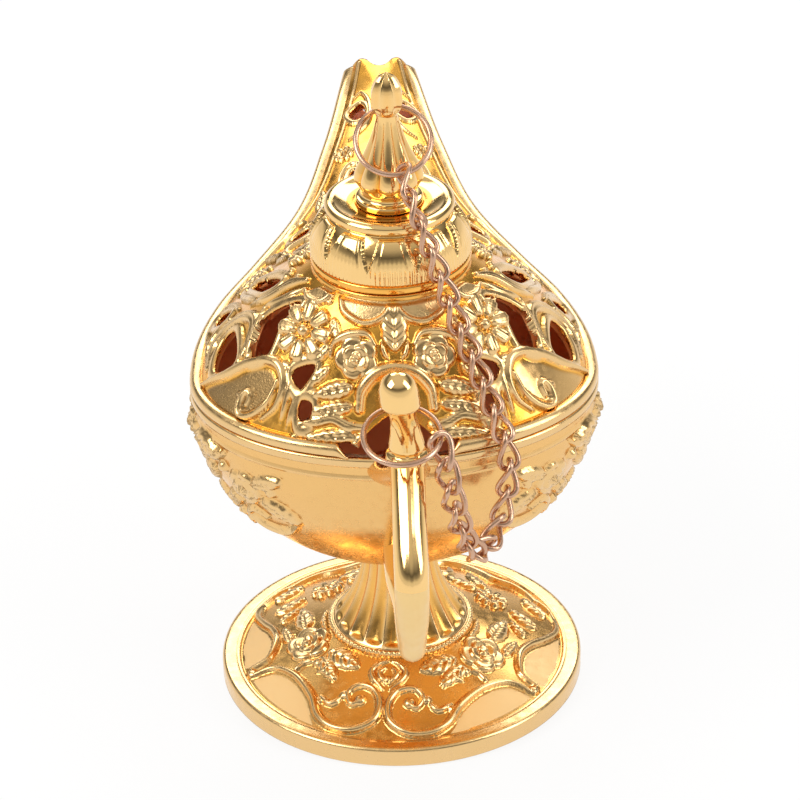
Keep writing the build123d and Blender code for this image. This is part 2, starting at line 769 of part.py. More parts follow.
# Lid: a hollow dome with a spigot in the neck and a dished top
with BuildPart() as lid:
    with BuildSketch(Plane.XZ):
        with BuildLine():
            Polyline(
                (spigot_radius, lid_bottom),
                (lid_radius, lid_bottom),
                (lid_radius, lid_bottom + lid_profile[0][0]),
                *[(radius, lid_bottom + height) for height, radius in lid_profile],
                (lid_ring_radius - lid_ring_bevel, lid_shoulder_height),
                (lid_ring_radius, lid_shoulder_height + lid_ring_bevel),
                (lid_ring_radius, lid_top - lid_ring_bevel),
                (lid_ring_radius - lid_ring_bevel, lid_top),
                (lid_dish_radius, lid_top),
                (finial_base_radius, finial_bottom),
                (stud_radius + stud_clearance, finial_bottom),
                (stud_radius + stud_clearance, lid_ceiling),
                (spigot_radius - lid_wall, lid_ceiling),
                (spigot_radius - lid_wall, lid_bottom - spigot_depth),
                (spigot_radius, lid_bottom - spigot_depth),
                (spigot_radius, lid_bottom),
            )
        make_face()
    revolve(axis=Axis.Z)
lid.part.label = "lid"

# Finial: a fluted bulb and a pointed bud on a coved base, with a stud through the lid
with BuildPart() as finial:
    with BuildSketch(Plane.XZ):
        with BuildLine():
            Polyline(
                (0, lid_ceiling - nut_thickness - stud_end),
                (stud_radius, lid_ceiling - nut_thickness - stud_end),
                (stud_radius, finial_bottom),
                (finial_base_radius, finial_bottom),
                (finial_base_radius, finial_bottom + finial_base_edge),
                (finial_cove_radius, bulb_bottom),
                (0, bulb_bottom),
                close=True,
            )
        make_face()
    revolve(axis=Axis.Z)
    for height, radius in bulb_profile:
        with BuildSketch(Plane.XY.offset(bulb_bottom + height)):
            with BuildLine():
                Polyline(*fluted_outline(radius, bulb_flute_depth, bulb_flute_count), close=True)
            make_face()
    loft(ruled=True)
    with BuildSketch(Plane.XY.offset(bulb_top)):
        Circle(finial_waist_radius)
    extrude(amount=finial_waist_height)
    for height, radius in bud_profile:
        with BuildSketch(Plane.XY.offset(bud_bottom + height)):
            RegularPolygon(radius, bud_sides)
    loft(ruled=True)
finial.part.label = "finial"

# Nut on the finial's stud, under the lid's ceiling
with BuildPart() as finial_nut:
    with BuildSketch(Plane.XY.offset(lid_ceiling)):
        RegularPolygon(nut_across_flats / 2, 6, major_radius=False)
        Circle(stud_radius + thread_clearance, mode=Mode.SUBTRACT)
    extrude(amount=-nut_thickness)
finial_nut.part.label = "finial_nut"

# Handle: a bent rod with a collar, a waist and a knob, an arm to the rim and two pegs into the bowl
bowl_keepout = bowl_form(-fit_gap, 0, bowl_clear_above)
band_keepout = rim_slab(-bowl_band_height - fit_gap, cover_band_height + fit_gap, fit_gap)
handle_axis = handle_points[-1][0]
with BuildPart() as handle:
    with BuildLine(handle_plane) as route:
        FilletPolyline(*handle_points, radius=handle_bends)
    for step in range(handle_spans + 1):
        share = step / handle_spans
        with BuildSketch(Plane(origin=route.line @ share, x_dir=(1, 0, 0), z_dir=route.line % share)):
            RegularPolygon(handle_radius, handle_sides)
    loft(ruled=True)
    for back, height, half_width, half_height in arm_sections:
        with BuildSketch(frontal_plane(-back, height)):
            Ellipse(half_width, half_height)
    loft(ruled=True)
    with BuildSketch(handle_plane):
        with BuildLine():
            Polyline(
                (handle_axis, handle_collar_height),
                (handle_axis + handle_collar_radius, handle_collar_height),
                (handle_axis + handle_collar_radius, handle_collar_height + handle_collar_thickness),
                (handle_axis + handle_radius, handle_collar_height + handle_collar_thickness),
                (handle_axis + handle_waist_radius, knob_bottom - knob_radius + handle_waist_radius),
                (handle_axis + knob_radius, knob_bottom),
                (handle_axis + knob_radius, knob_bottom + knob_side_height),
                (handle_axis + knob_shoulder_radius, knob_bottom + knob_shoulder_height),
                (handle_axis, knob_bottom + knob_height),
                close=True,
            )
        make_face()
    revolve(axis=Axis((0, -handle_axis, 0), (0, 0, 1)))
    add(bowl_keepout, mode=Mode.SUBTRACT)
    add(band_keepout, mode=Mode.SUBTRACT)
    for back, height in (handle_points[0], arm_sections[0][:2]):
        with BuildSketch(frontal_plane(-back + peg_reach / 2, height)):
            Circle(peg_radius)
        extrude(amount=2 * peg_reach)
handle.part.label = "handle"

# Rings that carry the chain, one loose round the finial's waist and one loose round the handle's
finial_ring = wire_ring(finial_ring_centre, finial_ring_slope)
finial_ring.label = "finial_ring"
handle_ring = wire_ring(handle_ring_centre, handle_ring_slope)
handle_ring.label = "handle_ring"

# Chain: twisted links spaced along the route from the finial's ring to the handle's
first_hook, first_facing = ring_hook(finial_ring_centre, finial_ring_slope, finial_hook_angle)
last_hook, last_facing = ring_hook(handle_ring_centre, handle_ring_slope, handle_hook_angle)
first_way = (Vector(*chain_points[0]) - first_hook).normalized()
last_way = (last_hook - Vector(*chain_points[-1])).normalized()
chain_start = first_hook - hook_depth * first_way
chain_end = last_hook + hook_depth * last_way
with BuildLine():
    chain_route = Spline(chain_start, *chain_points, chain_end)
link_count = ceil(chain_route.length / link_pitch)
chain_joints = [chain_route @ (index / link_count) for index in range(link_count + 1)]
chain_links = []
for index, (near, far) in enumerate(zip(chain_joints, chain_joints[1:])):
    along = (far - near).normalized()
    from_first = max(0, 1 - index / turning_links)
    from_last = max(0, 1 - (link_count - 1 - index) / turning_links)
    facing = (1 - from_first - from_last) * Vector(*chain_facing)
    facing = facing + from_first * first_facing - from_last * last_facing
    facing = facing - facing.dot(along) * along
    link = link_wire(Plane(origin=(near + far) / 2, x_dir=along, z_dir=facing))
    link.label = f"chain_link_{index + 1:02d}"
    chain_links.append(link)

# One STEP file for each piece
os.makedirs("parts", exist_ok=True)
pieces = [foot, foot_washer, foot_screw, bowl, cover, lid, finial, finial_nut, handle]
for piece in [*[built.part for built in pieces], finial_ring, handle_ring, *chain_links]:
    export_step(piece, f"parts/{piece.label}.step")
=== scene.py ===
"""Looks of the genie oil lamp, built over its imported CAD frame.

Shapes are worked out in millimetres, in the frame of the part: the lamp stands on Z = 0, its spout points
along +Y and its handle along -Y. Dense shells carry the cast ornament, which is raised along their normals.
"""

from math import cos, pi, radians, sin

import bpy
import numpy as np
from mathutils import Matrix, Vector


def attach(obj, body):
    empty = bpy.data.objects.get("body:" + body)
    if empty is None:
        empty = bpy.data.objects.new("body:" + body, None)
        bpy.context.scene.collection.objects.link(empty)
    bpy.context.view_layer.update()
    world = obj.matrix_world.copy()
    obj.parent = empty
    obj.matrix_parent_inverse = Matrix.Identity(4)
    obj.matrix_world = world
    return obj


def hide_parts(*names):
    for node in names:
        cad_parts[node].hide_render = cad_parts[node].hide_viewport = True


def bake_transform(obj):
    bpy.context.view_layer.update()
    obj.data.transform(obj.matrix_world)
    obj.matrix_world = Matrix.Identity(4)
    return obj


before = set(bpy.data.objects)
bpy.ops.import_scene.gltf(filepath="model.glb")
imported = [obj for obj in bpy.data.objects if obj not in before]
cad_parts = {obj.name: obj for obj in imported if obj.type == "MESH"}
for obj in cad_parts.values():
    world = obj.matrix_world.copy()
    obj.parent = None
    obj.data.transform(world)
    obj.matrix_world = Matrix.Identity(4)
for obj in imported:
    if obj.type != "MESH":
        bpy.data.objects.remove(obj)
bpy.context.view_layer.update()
rng = np.random.default_rng(11)
MM = 0.001

# Sizes taken over from the part, in millimetres
STATIONS = np.array(
    [  # distance along the spout, half width, rim height, depth of the bowl, rise of the cover
        (0, 27.4, 46.0, 26.5, 19.5),
        (10, 26.4, 46.3, 25.4, 16.1),
        (18, 23.6, 47.2, 22.7, 10.6),
        (26, 18.8, 48.7, 19.6, 6.6),
        (36, 13.1, 50.9, 15.5, 3.9),
        (50, 8.8, 54.4, 11.0, 2.2),
        (66, 5.4, 58.4, 7.4, 1.2),
    ]
)
# Columns of the stations after the first
HALF, EDGE, DEPTH, RISE = range(1, 5)
TIP = STATIONS[-1, 0]
HALF_WIDTH, RIM, _, COVER_RISE = STATIONS[0, 1:]
REAR_REACH = 21.0
COVER_EDGE = 1.5
COVER_BAND = 1.6
BOWL_BAND = 1.4
BOWL_PROUD = 0.6
NECK_RADIUS = 10.4
NECK_BORE = 8.6
NECK_HEIGHT = 64.4
NOTCH_HALF_WIDTH = 6.6
NOTCH_HEIGHT = 5.6
NOTCH_BULGE = 0.7
STEM_HEIGHT = 20.5
KNOB_BACK = 31.2
RING_RADIUS = 4.85
WIRE = 0.39
WALL = 1.3


# Materials

NOISE_LOW, NOISE_HIGH = 0.35, 0.65
DULL_SHARE = 0.2
# Dark brown painted as shade over the stippled fields, and how much of it
SAND_SHADE_COLOUR = (0.25, 0.16, 0.065)
SAND_SHADE_SHARE = 0.8
SAND_ROUGHNESS = 0.2
PIT_DEPTH = 0.02
STIPPLE_DEPTH = 0.12


def rgba(colour):
    return (*colour, 1)


def add_node(tree, kind, inputs=None, **settings):
    """A shader node with its settings. Each input is a socket to link from or a constant."""
    node = tree.nodes.new(kind)
    for name, value in settings.items():
        setattr(node, name, value)
    for socket, value in (inputs or {}).items():
        if isinstance(value, bpy.types.NodeSocket):
            tree.links.new(value, node.inputs[socket])
        else:
            node.inputs[socket].default_value = value
    return node


def maths(tree, operation, *values):
    return add_node(tree, "ShaderNodeMath", dict(enumerate(values)), operation=operation).outputs[0]


def metal(name, flat, shade_and_stain_colour, dull, rough=(0.16, 0.3), pit=0.2, metallic=1.0):
    """Plated metal: flat colour on high ground, a darker colour painted as shade into the hollows where the
    mesh's attribute says (on the wire the same colour makes stains), dull patches, and matte sand that is
    painted dark as shade.
    """
    material = bpy.data.materials.new(name)
    material.use_nodes = True
    tree = material.node_tree
    place = add_node(tree, "ShaderNodeTexCoord").outputs["Object"]
    shade_and_stain = add_node(tree, "ShaderNodeAttribute", attribute_name="shade_and_stain").outputs["Fac"]
    sand_and_shade = add_node(tree, "ShaderNodeAttribute", attribute_name="sand_and_shade").outputs["Fac"]

    def noise(scale, detail):
        inputs = {"Vector": place, "Scale": scale, "Detail": detail}
        return add_node(tree, "ShaderNodeTexNoise", inputs).outputs["Fac"]

    def spread(value, low, high):
        inputs = {"Value": value, "From Min": NOISE_LOW, "From Max": NOISE_HIGH}
        inputs |= {"To Min": low, "To Max": high}
        return add_node(tree, "ShaderNodeMapRange", inputs).outputs["Result"]

    def mixed(low, high, share):
        # these sockets are the ones for colours
        return add_node(tree, "ShaderNodeMix", {0: share, 6: low, 7: high}, data_type="RGBA").outputs[2]

    # painted shade: the darker colour fills the hollows of the relief; on the chain and rings it makes stains
    colour = mixed(rgba(flat), rgba(shade_and_stain_colour), shade_and_stain)
    colour = mixed(colour, rgba(dull), spread(noise(260, 3), 0, DULL_SHARE))
    # painted shade: the stippled fields are darkened toward a dark brown
    colour = mixed(colour, rgba(SAND_SHADE_COLOUR), maths(tree, "MULTIPLY", sand_and_shade, SAND_SHADE_SHARE))
    matte = maths(tree, "MULTIPLY_ADD", sand_and_shade, SAND_ROUGHNESS, spread(noise(900, 6), *rough))
    relief = {"Height": noise(5200, 3), "Strength": pit, "Distance": PIT_DEPTH * MM}
    pits = add_node(tree, "ShaderNodeBump", relief).outputs["Normal"]
    relief = {"Height": noise(4200, 1), "Strength": sand_and_shade, "Distance": STIPPLE_DEPTH * MM, "Normal": pits}
    stipple = add_node(tree, "ShaderNodeBump", relief).outputs["Normal"]
    shader = tree.nodes["Principled BSDF"]
    shader.inputs["Metallic"].default_value = metallic
    for socket, value in (("Base Color", colour), ("Roughness", matte), ("Normal", stipple)):
        tree.links.new(value, shader.inputs[socket])
    return material


gold = metal("gold_plate", (0.85, 0.57, 0.265), (0.92, 0.45, 0.068), (0.82, 0.52, 0.2))
# painted reflection: a paler gold for the underside of the handle bar, where it mirrors the white floor
painted_reflection_gold = metal("gold_painted_reflection", (0.9, 0.64, 0.29), (0.92, 0.55, 0.2), (0.88, 0.6, 0.26), (0.3, 0.42))
# satin finish, and painted light: a paler, less metallic gold that makes the plain panels of the foot light
satin_gold_painted_light = metal(
    "gold_satin_painted_light", (0.97, 0.66, 0.3), (0.95, 0.55, 0.2), (0.93, 0.62, 0.27), (0.35, 0.5), metallic=0.35
)
# painted bounce light: a red-brown, non-metal inside stands in for light bounced between the gold walls
inside_painted_bounce = metal(
    "gold_inside_painted_bounce", (0.95, 0.34, 0.11), (0.85, 0.26, 0.07), (0.9, 0.29, 0.08), (0.5, 0.65), metallic=0.0
)
copper = metal("copper_wire", (0.72, 0.46, 0.32), (0.46, 0.24, 0.13), (0.62, 0.37, 0.24), (0.2, 0.35))
polished = metal(
    "gold_polished", (0.95, 0.63, 0.26), (0.96, 0.45, 0.06), (0.9, 0.56, 0.2), (0.06, 0.14), pit=0.12
)
zinc = metal("zinc_plate", (0.62, 0.63, 0.64), (0.4, 0.41, 0.42), (0.52, 0.53, 0.53), (0.3, 0.5))


# Meshes


def grid_faces(rows, columns, closed=False):
    """Quads of a grid whose points run along the columns of each row in turn."""
    across = np.arange(columns if closed else columns - 1)
    row = np.arange(rows - 1)[:, None] * columns
    corners = [row + across, row + (across + 1) % columns]
    quads = np.stack([corners[0], corners[1], corners[1] + columns, corners[0] + columns], -1)
    return quads.reshape(-1, 4)


def capped(sections):
    """Points and faces of a bar given as rows of section points, closed at both ends."""
    rows, columns = sections.shape[:2]
    here = np.arange(columns)
    ahead = (here + 1) % columns
    count, last = rows * columns, (rows - 1) * columns
    first_middle, last_middle = np.full(columns, count), np.full(columns, count + 1)
    start = np.stack([here, first_middle, first_middle, ahead], -1)
    end = np.stack([last + ahead, last_middle, last_middle, last + here], -1)
    points = np.vstack([sections.reshape(-1, 3), sections[[0, -1]].mean(1)])
    return points, np.vstack([grid_faces(rows, columns, True), start, end])


def welded(parts):
    """Joins (points, faces, painted shade and stain) parts and merges points that coincide."""
    points, faces, shades_and_stains, start = [], [], [], 0
    for part_points, part_faces, part_shade_and_stain in parts:
        points.append(part_points)
        faces.append(part_faces + start)
        shades_and_stains.append(part_shade_and_stain)
        start += len(part_points)
    points, faces, shades_and_stains = np.vstack(points), np.vstack(faces), np.concatenate(shades_and_stains)
    _, first, same = np.unique(np.round(points, 3), axis=0, return_index=True, return_inverse=True)
    return points[first], same.reshape(-1)[faces], shades_and_stains[first]


def mirrored(points, faces, shade_and_stain):
    """A half and its mirror image, joined at the middle plane."""
    return welded([(points * [side, 1, 1], faces[:, ::side], shade_and_stain) for side in (1, -1)])


def add_piece(name, points, faces, materials, body, nodes, shade_and_stain):
    """Makes a smooth mesh piece that rides on a body and stands for CAD nodes."""
    points, faces = np.asarray(points, float), np.asarray(faces)
    corners = points[faces] - points.mean(0)
    volume = (corners[:, 0] * np.cross(corners[:, 1], corners[:, 2])).sum()
    volume += (corners[:, 0] * np.cross(corners[:, 2], corners[:, 3])).sum()
    if volume < 0:
        faces = faces[:, ::-1]
    mesh = bpy.data.meshes.new(name)
    clean = [list(dict.fromkeys(face)) for face in faces.tolist()]
    mesh.from_pydata((points * MM).tolist(), [], [face for face in clean if len(face) > 2])
    mesh.validate()
    mesh.polygons.foreach_set("use_smooth", [True] * len(mesh.polygons))
    # the painted shade and stain, and the sand with its painted dark, are kept on the mesh's points
    for label, column in zip(("shade_and_stain", "sand_and_shade"), np.atleast_2d(np.asarray(shade_and_stain, np.float32).T)):
        values = mesh.attributes.new(label, "FLOAT", "POINT")
        values.data.foreach_set("value", np.ascontiguousarray(column))
    for material in materials:
        mesh.materials.append(material)
    mesh.update()
    piece = bpy.data.objects.new(name, mesh)
    bpy.context.collection.objects.link(piece)
    if body:
        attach(piece, body)
    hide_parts(*nodes)
    return piece


def thicken(piece, depth):
    """Gives a shell its wall, inwards, in the second material."""
    wall = piece.modifiers.new("wall", "SOLIDIFY")
    wall.thickness = depth * MM
    wall.offset = -1
    wall.material_offset = 1
    wall.material_offset_rim = 0


def paint(piece, chosen):
    """Gives the second material to the faces that have only chosen points."""
    for polygon in piece.data.polygons:
        polygon.material_index = int(chosen[list(polygon.vertices)].all())


def smooth_line(points, step, closed=False):
    """A smooth curve through the points, sampled about every step."""
    p = np.asarray(points, float)
    ends = (p[-1:], np.vstack([p[:1], p[1:2]])) if closed else ([2 * p[0] - p[1]], [2 * p[-1] - p[-2]])
    p = np.vstack([ends[0], p, ends[1]])
    runs = []
    for a, b, c, d in zip(p, p[1:], p[2:], p[3:]):
        t = np.linspace(0, 1, max(3, int(np.linalg.norm(c - b) / step)), endpoint=False)[:, None]
        bend, twist = 2 * a - 5 * b + 4 * c - d, 3 * b - a - 3 * c + d
        runs.append(0.5 * (2 * b + (c - a) * t + bend * t**2 + twist * t**3))
    return np.vstack(runs if closed else runs + [p[-2:-1]])


def unit(v):
    return v / np.maximum(np.linalg.norm(v, axis=-1, keepdims=True), 1e-9)


def ease(value):
    value = np.clip(value, 0, 1)
    return value * value * (3 - 2 * value)


def around(count):
    """Even angles of a full turn."""
    return np.linspace(0, 2 * pi, count, endpoint=False)


def hump(offset, width):
    """A soft bump that is 1 in its middle."""
    return np.exp(-((offset / width) ** 2))


def dome(square):
    """Height of a dome of radius 1, by the square of the distance from its middle."""
    return np.sqrt(np.maximum(0, 1 - square))


def swing(angle, count, start=0.0):
    """Falls from 1 to 0 and rises to 1 again in each of count sectors."""
    return np.abs((angle * count / (2 * pi) + start) % 1 * 2 - 1)


NORMAL_STEP = 0.02
DAISY_PETALS = 8
# Number, distance from the middle, half length, half width and height of each ring of petals of a rose
ROSE_RINGS = [(5, 0.55, 0.45, 0.52, 0.6), (4, 0.3, 0.32, 0.38, 0.88), (2, 0.08, 0.17, 0.22, 1.15)]


class Surface:
    """A dense surface and the ornament raised on it. place() turns surface coordinates into points."""

    def __init__(self, coords, place, inside):
        self.coords = coords
        self.place = place
        self.inside = np.asarray(inside, float)
        self.points = place(coords)
        self.normals = self.normals_at(coords)
        self.height = np.zeros(len(coords))
        self.sand_and_shade = np.zeros(len(coords))
        self.plain = np.zeros(len(coords))

    def normals_at(self, coords):
        one, two = np.array([NORMAL_STEP, 0]), np.array([0, NORMAL_STEP])
        first = self.place(coords + one) - self.place(coords - one)
        second = self.place(coords + two) - self.place(coords - two)
        normal = unit(np.cross(first, second))
        outward = self.place(coords) - self.inside
        return normal * np.where((normal * outward).sum(-1, keepdims=True) < 0, -1, 1)

    def near(self, path, reach):
        low, high = path.min(0) - reach, path.max(0) + reach
        return np.where(((self.points > low) & (self.points < high)).all(1))[0]

    def lift(self, chosen, height):
        self.height[chosen] = np.maximum(self.height[chosen], height)

    def local(self, centre, toward, reach):
        """Indices near a place on the surface, with their distance along, across and above it."""
        spot = np.array([centre], float)
        origin, normal = self.place(spot)[0], self.normals_at(spot)[0]
        if toward is None:
            along = self.place(spot + [0, 0.2])[0] - origin
        else:
            along = self.place(np.array([toward], float))[0] - origin
        length = np.linalg.norm(along)
        along = unit(along - normal * (along @ normal))
        across = np.cross(normal, along)
        chosen = self.near(origin[None], reach)
        offset = self.points[chosen] - origin
        return chosen, offset @ along, offset @ across, offset @ normal, length

    def ridge(self, curve, width, height, ends=(0.4, 0.4), groove=0.0):
        """A rounded bar along a curve, thinner at its ends, with a groove along its back."""
        path = self.place(smooth_line(curve, 0.12))
        chosen = self.near(path, width)
        gap = np.linalg.norm(self.points[chosen][:, None] - path[None], axis=-1)
        nearest = gap.argmin(1)
        share = nearest / (len(path) - 1)
        thick = [end + (1 - end) * ease(run / 0.3) for end, run in zip(ends, (share, 1 - share))]
        taper = np.minimum(*thick)
        q = gap.min(1) / (width * taper)
        bump = dome(q**2) - groove * hump(q, 0.32) * (q < 1)
        self.lift(chosen, height * (0.4 + 0.6 * taper) * bump)

    def leaf(self, base, tip, width, height, lobes):
        """A toothed leaf from base to tip, with a crease along its middle and slanting veins."""
        chosen, along, across, above, length = self.local(base, tip, 14.0)
        u = np.clip(along / length, 1e-3, 1)
        edge = width * np.sin(pi * u**0.85) ** 0.6 * (1 + 0.04 * np.cos(2 * pi * lobes * u)) + 1e-3
        q = np.abs(across) / edge
        body = 0.78 * dome(q**3)
        veins = 0.09 * np.cos(2 * pi * (lobes * u - 0.9 * q)) * np.clip((0.95 - q) / 0.2, 0, 1)
        crease = 0.3 * hump(across, 0.17) * (1 - u)
        inside = (along > 0) & (along < length) & (q < 1) & (np.abs(above) < 4)
        self.lift(chosen, np.where(inside, height * (body + veins - crease), 0))

    def daisy(self, centre, radius, height):
        """An open flower with separate spoon-shaped petals round a dome."""
        chosen, a, b, above, _ = self.local(centre, None, radius * 1.1)
        a, b = a / radius, b / radius
        total = dome((a**2 + b**2) / 0.22**2)
        for angle in (np.arange(DAISY_PETALS) + 0.5) * 2 * pi / DAISY_PETALS:
            out, side = a * cos(angle) + b * sin(angle), b * cos(angle) - a * sin(angle)
            spoon = np.abs((out - 0.63) / 0.37) ** 3 + (side / (0.12 + 0.19 * np.abs(out))) ** 2
            rib = 1 - 0.12 * hump(np.abs(side) - 0.08, 0.025)
            total = np.maximum(total, dome(spoon**2) * (0.5 + 0.45 * out) * rib)
        self.lift(chosen, np.where(np.abs(above) < 3, height * total, 0))

    def rose(self, centre, radius, height, turn=0.0):
        """A full flower of rings of petals, each rising outwards, round a rolled heart."""
        chosen, a, b, above, _ = self.local(centre, None, radius * 1.1)
        total = np.zeros(len(chosen))
        for count, distance, length, width, top in ROSE_RINGS:
            for angle in turn + distance + np.arange(count) * 2 * pi / count:
                out = ((a * cos(angle) + b * sin(angle)) / radius - distance) / length
                side = (b * cos(angle) - a * sin(angle)) / radius / width
                petal = dome((out**2 + side**2) ** 3)
                total = np.maximum(total, top * (0.72 + 0.28 * out) * petal)
        self.lift(chosen, np.where(np.abs(above) < 3, height * total, 0))

    def bead(self, centre, radius, height):
        chosen, a, b, above, _ = self.local(centre, None, radius * 1.1)
        ring = np.hypot(a, b) / radius
        self.lift(chosen, np.where(np.abs(above) < 2, height * dome(ring**2), 0))

    def panel(self, outline, sand_and_shade=0.0, level=0.0):
        """A plain field inside a closed outline of surface coordinates, sandy or smooth; the sand is matte
        and painted dark as shade.
        """
        gap, _ = outline_gap(self.coords, smooth_line(outline, 0.2, True))
        field = ease(-gap / 0.4)
        self.plain = np.maximum(self.plain, field)
        self.lift(slice(None), level * field)
        self.sand_and_shade = np.maximum(self.sand_and_shade, sand_and_shade * field)

    def raised(self):
        return self.points + self.normals * self.height[:, None]

    def shade_and_stain(self, full=0.45):
        """Painted shade: 1 in the ground of the ornament, 0 on top of it; the second column is the sand,
        painted dark as shade.
        """
        shade = (1 - ease(self.height / full)) * (1 - 0.75 * self.plain)
        return np.column_stack([shade, self.sand_and_shade * (1 - ease((self.height - 0.3) / 0.2))])


def outline_gap(points, outline):
    """Signed distance of plan points to a closed outline, less than 0 inside, and its nearest points."""
    a, b = outline, np.roll(outline, -1, 0)
    chosen = ((points > a.min(0) - 3) & (points < a.max(0) + 3)).all(1)
    gap, nearest = np.full(len(points), 9.0), points.copy()
    p = points[chosen][:, None]
    edge = (b - a)[None]
    t = np.clip(((p - a) * edge).sum(-1) / np.maximum((edge**2).sum(-1), 1e-9), 0, 1)
    foot_point = a + t[..., None] * edge
    distance = np.linalg.norm(p - foot_point, axis=-1)
    best = distance.argmin(1)
    crosses = (a[:, 1] > p[..., 1]) != (b[:, 1] > p[..., 1])
    run, rise = (b - a).T
    crossing = a[:, 0] + (p[..., 1] - a[:, 1]) * run / np.where(rise == 0, 1e-9, rise)
    within = (crosses & (p[..., 0] < crossing)).sum(1) % 2 == 1
    rows = np.arange(len(best))
    gap[chosen] = np.where(within, -distance[rows, best], distance[rows, best])
    nearest[chosen] = foot_point[rows, best]
    return gap, nearest


# The body's form


def station(column, distance):
    """A station value at a distance along the spout: a cubic through the stations, level at the first."""
    xs, ys = STATIONS[:, 0], STATIONS[:, column]
    slope = np.gradient(ys, xs)
    slope[0] = 0
    i = np.clip(np.searchsorted(xs, distance, side="right") - 1, 0, len(xs) - 2)
    step = xs[i + 1] - xs[i]
    t = (distance - xs[i]) / step
    start, end = ys[i], ys[i + 1]
    return (
        start * (1 + 2 * t) * (1 - t) ** 2
        + step * slope[i] * t * (1 - t) ** 2
        + end * t**2 * (3 - 2 * t)
        + step * slope[i + 1] * t**2 * (t - 1)
    )


LEVEL_HALF = HALF_WIDTH - COVER_EDGE
LEVEL_REACH = REAR_REACH - COVER_EDGE
LEVEL_SHARE = (LEVEL_REACH - NECK_RADIUS) / (LEVEL_HALF - NECK_RADIUS)


def level_reach(half):
    return NECK_RADIUS + LEVEL_SHARE * (half - NECK_RADIUS)


def cover_height(x, y):
    """Height of the plain cover over a plan point."""
    x = np.abs(x)
    forward = np.clip(y, 0, TIP)
    half = station(HALF, forward) - COVER_EDGE
    front = station(EDGE, forward) + COVER_BAND + station(RISE, forward) * (1 - (x / half) ** 2)
    low, high = np.full(len(x), 1.0), np.full(len(x), LEVEL_HALF + 3)
    for _ in range(40):
        middle = (low + high) / 2
        outside = (x / middle) ** 2 + (y / np.maximum(level_reach(middle), 0.5)) ** 2 > 1
        low, high = np.where(outside, middle, low), np.where(outside, high, middle)
    rear = RIM + COVER_BAND + COVER_RISE * (1 - (low / LEVEL_HALF) ** 2)
    return np.minimum(np.where(y >= 0, front, rear), NECK_HEIGHT)


def cover_place(plan):
    return np.column_stack([plan, cover_height(plan[:, 0], plan[:, 1])])


# Curl of the two lips at the tip of the spout, and the round notch between them
CURL_RISE = 1.3
CURL_LENGTH = 7.0
CURL_PLACE = 2.9
CURL_WIDTH = 1.5
TIP_NOTCH_RADIUS = 2.4
TIP_NOTCH_DEPTH = 0.8


def tip_lift(x, y):
    """How far the two lips of the spout curl up at its tip."""
    rise = CURL_RISE * ease((y - (TIP - CURL_LENGTH)) / CURL_LENGTH)
    return rise * hump(np.abs(x) - CURL_PLACE, CURL_WIDTH)


def notch_height(x):
    share = np.clip(np.abs(x) / NOTCH_HALF_WIDTH, 0, 1)
    return NOTCH_HEIGHT * (1 - share) + 4 * NOTCH_BULGE * share * (1 - share)


# Openings in the cover, right half, in plan
OPENINGS = [
    [(23.5, -4), (23.4, -1), (22.2, 0.4), (20.9, -1), (20.8, -5.8)],
    [(18.6, -7.4), (16.8, -4.2), (12, -6.2), (14.4, -6.9), (16.3, -8.9)],
    [(13.3, -12.5), (10.4, -13.3), (12.4, -14.1)],
    [(11, -15.7), (12.3, -15), (12.7, -15.9), (11.6, -16.4)],
    [(14.5, 0.8), (17.2, 7.4), (18.4, 8.6), (16.9, 2.2)],
    [(21.4, 7.4), (23, 11.2), (23.6, 9.4), (22.4, 6.2)],
    [(8.6, 15), (10.4, 19.4), (12.2, 16), (10.2, 12.8)],
    [(10.8, 28.2), (12.8, 27.6), (13.2, 25.6), (11.4, 25.8)],
    [(3.4, 23), (4.4, 27.5), (6.2, 24.6), (5, 21.8)],
    [(3.2, 37), (4.4, 41), (5.4, 37.4), (4.2, 35)],
    [(2.4, 54.4), (3, 56.6), (4.6, 55.2), (3.6, 53.2)],
]
FRONT_ROWS = 300
REAR_ROWS = 180
OUTER_COLUMNS = 100
INNER_COLUMNS = 48


def cover_plan():
    """Plan points and faces of the right half of the cover: the front, then the rear."""
    neck_share = NECK_RADIUS / LEVEL_HALF
    outer = np.linspace(1, neck_share, OUTER_COLUMNS)
    share = np.concatenate([outer, np.linspace(neck_share, 0, INNER_COLUMNS)[1:]])
    forward = np.linspace(TIP, 0, FRONT_ROWS)
    half = station(HALF, forward) - COVER_EDGE
    front = np.stack([half[:, None] * share, np.repeat(forward[:, None], len(share), 1)], -1)
    turn = np.linspace(0, pi / 2, REAR_ROWS)[:, None]
    level = LEVEL_HALF * outer
    rear = np.stack([level * np.cos(turn), -level_reach(level) * np.sin(turn)], -1)
    front_faces = grid_faces(FRONT_ROWS, len(share))
    rear_faces = grid_faces(REAR_ROWS, OUTER_COLUMNS) + front[..., 0].size
    return np.vstack([front.reshape(-1, 2), rear.reshape(-1, 2)]), np.vstack([front_faces, rear_faces])


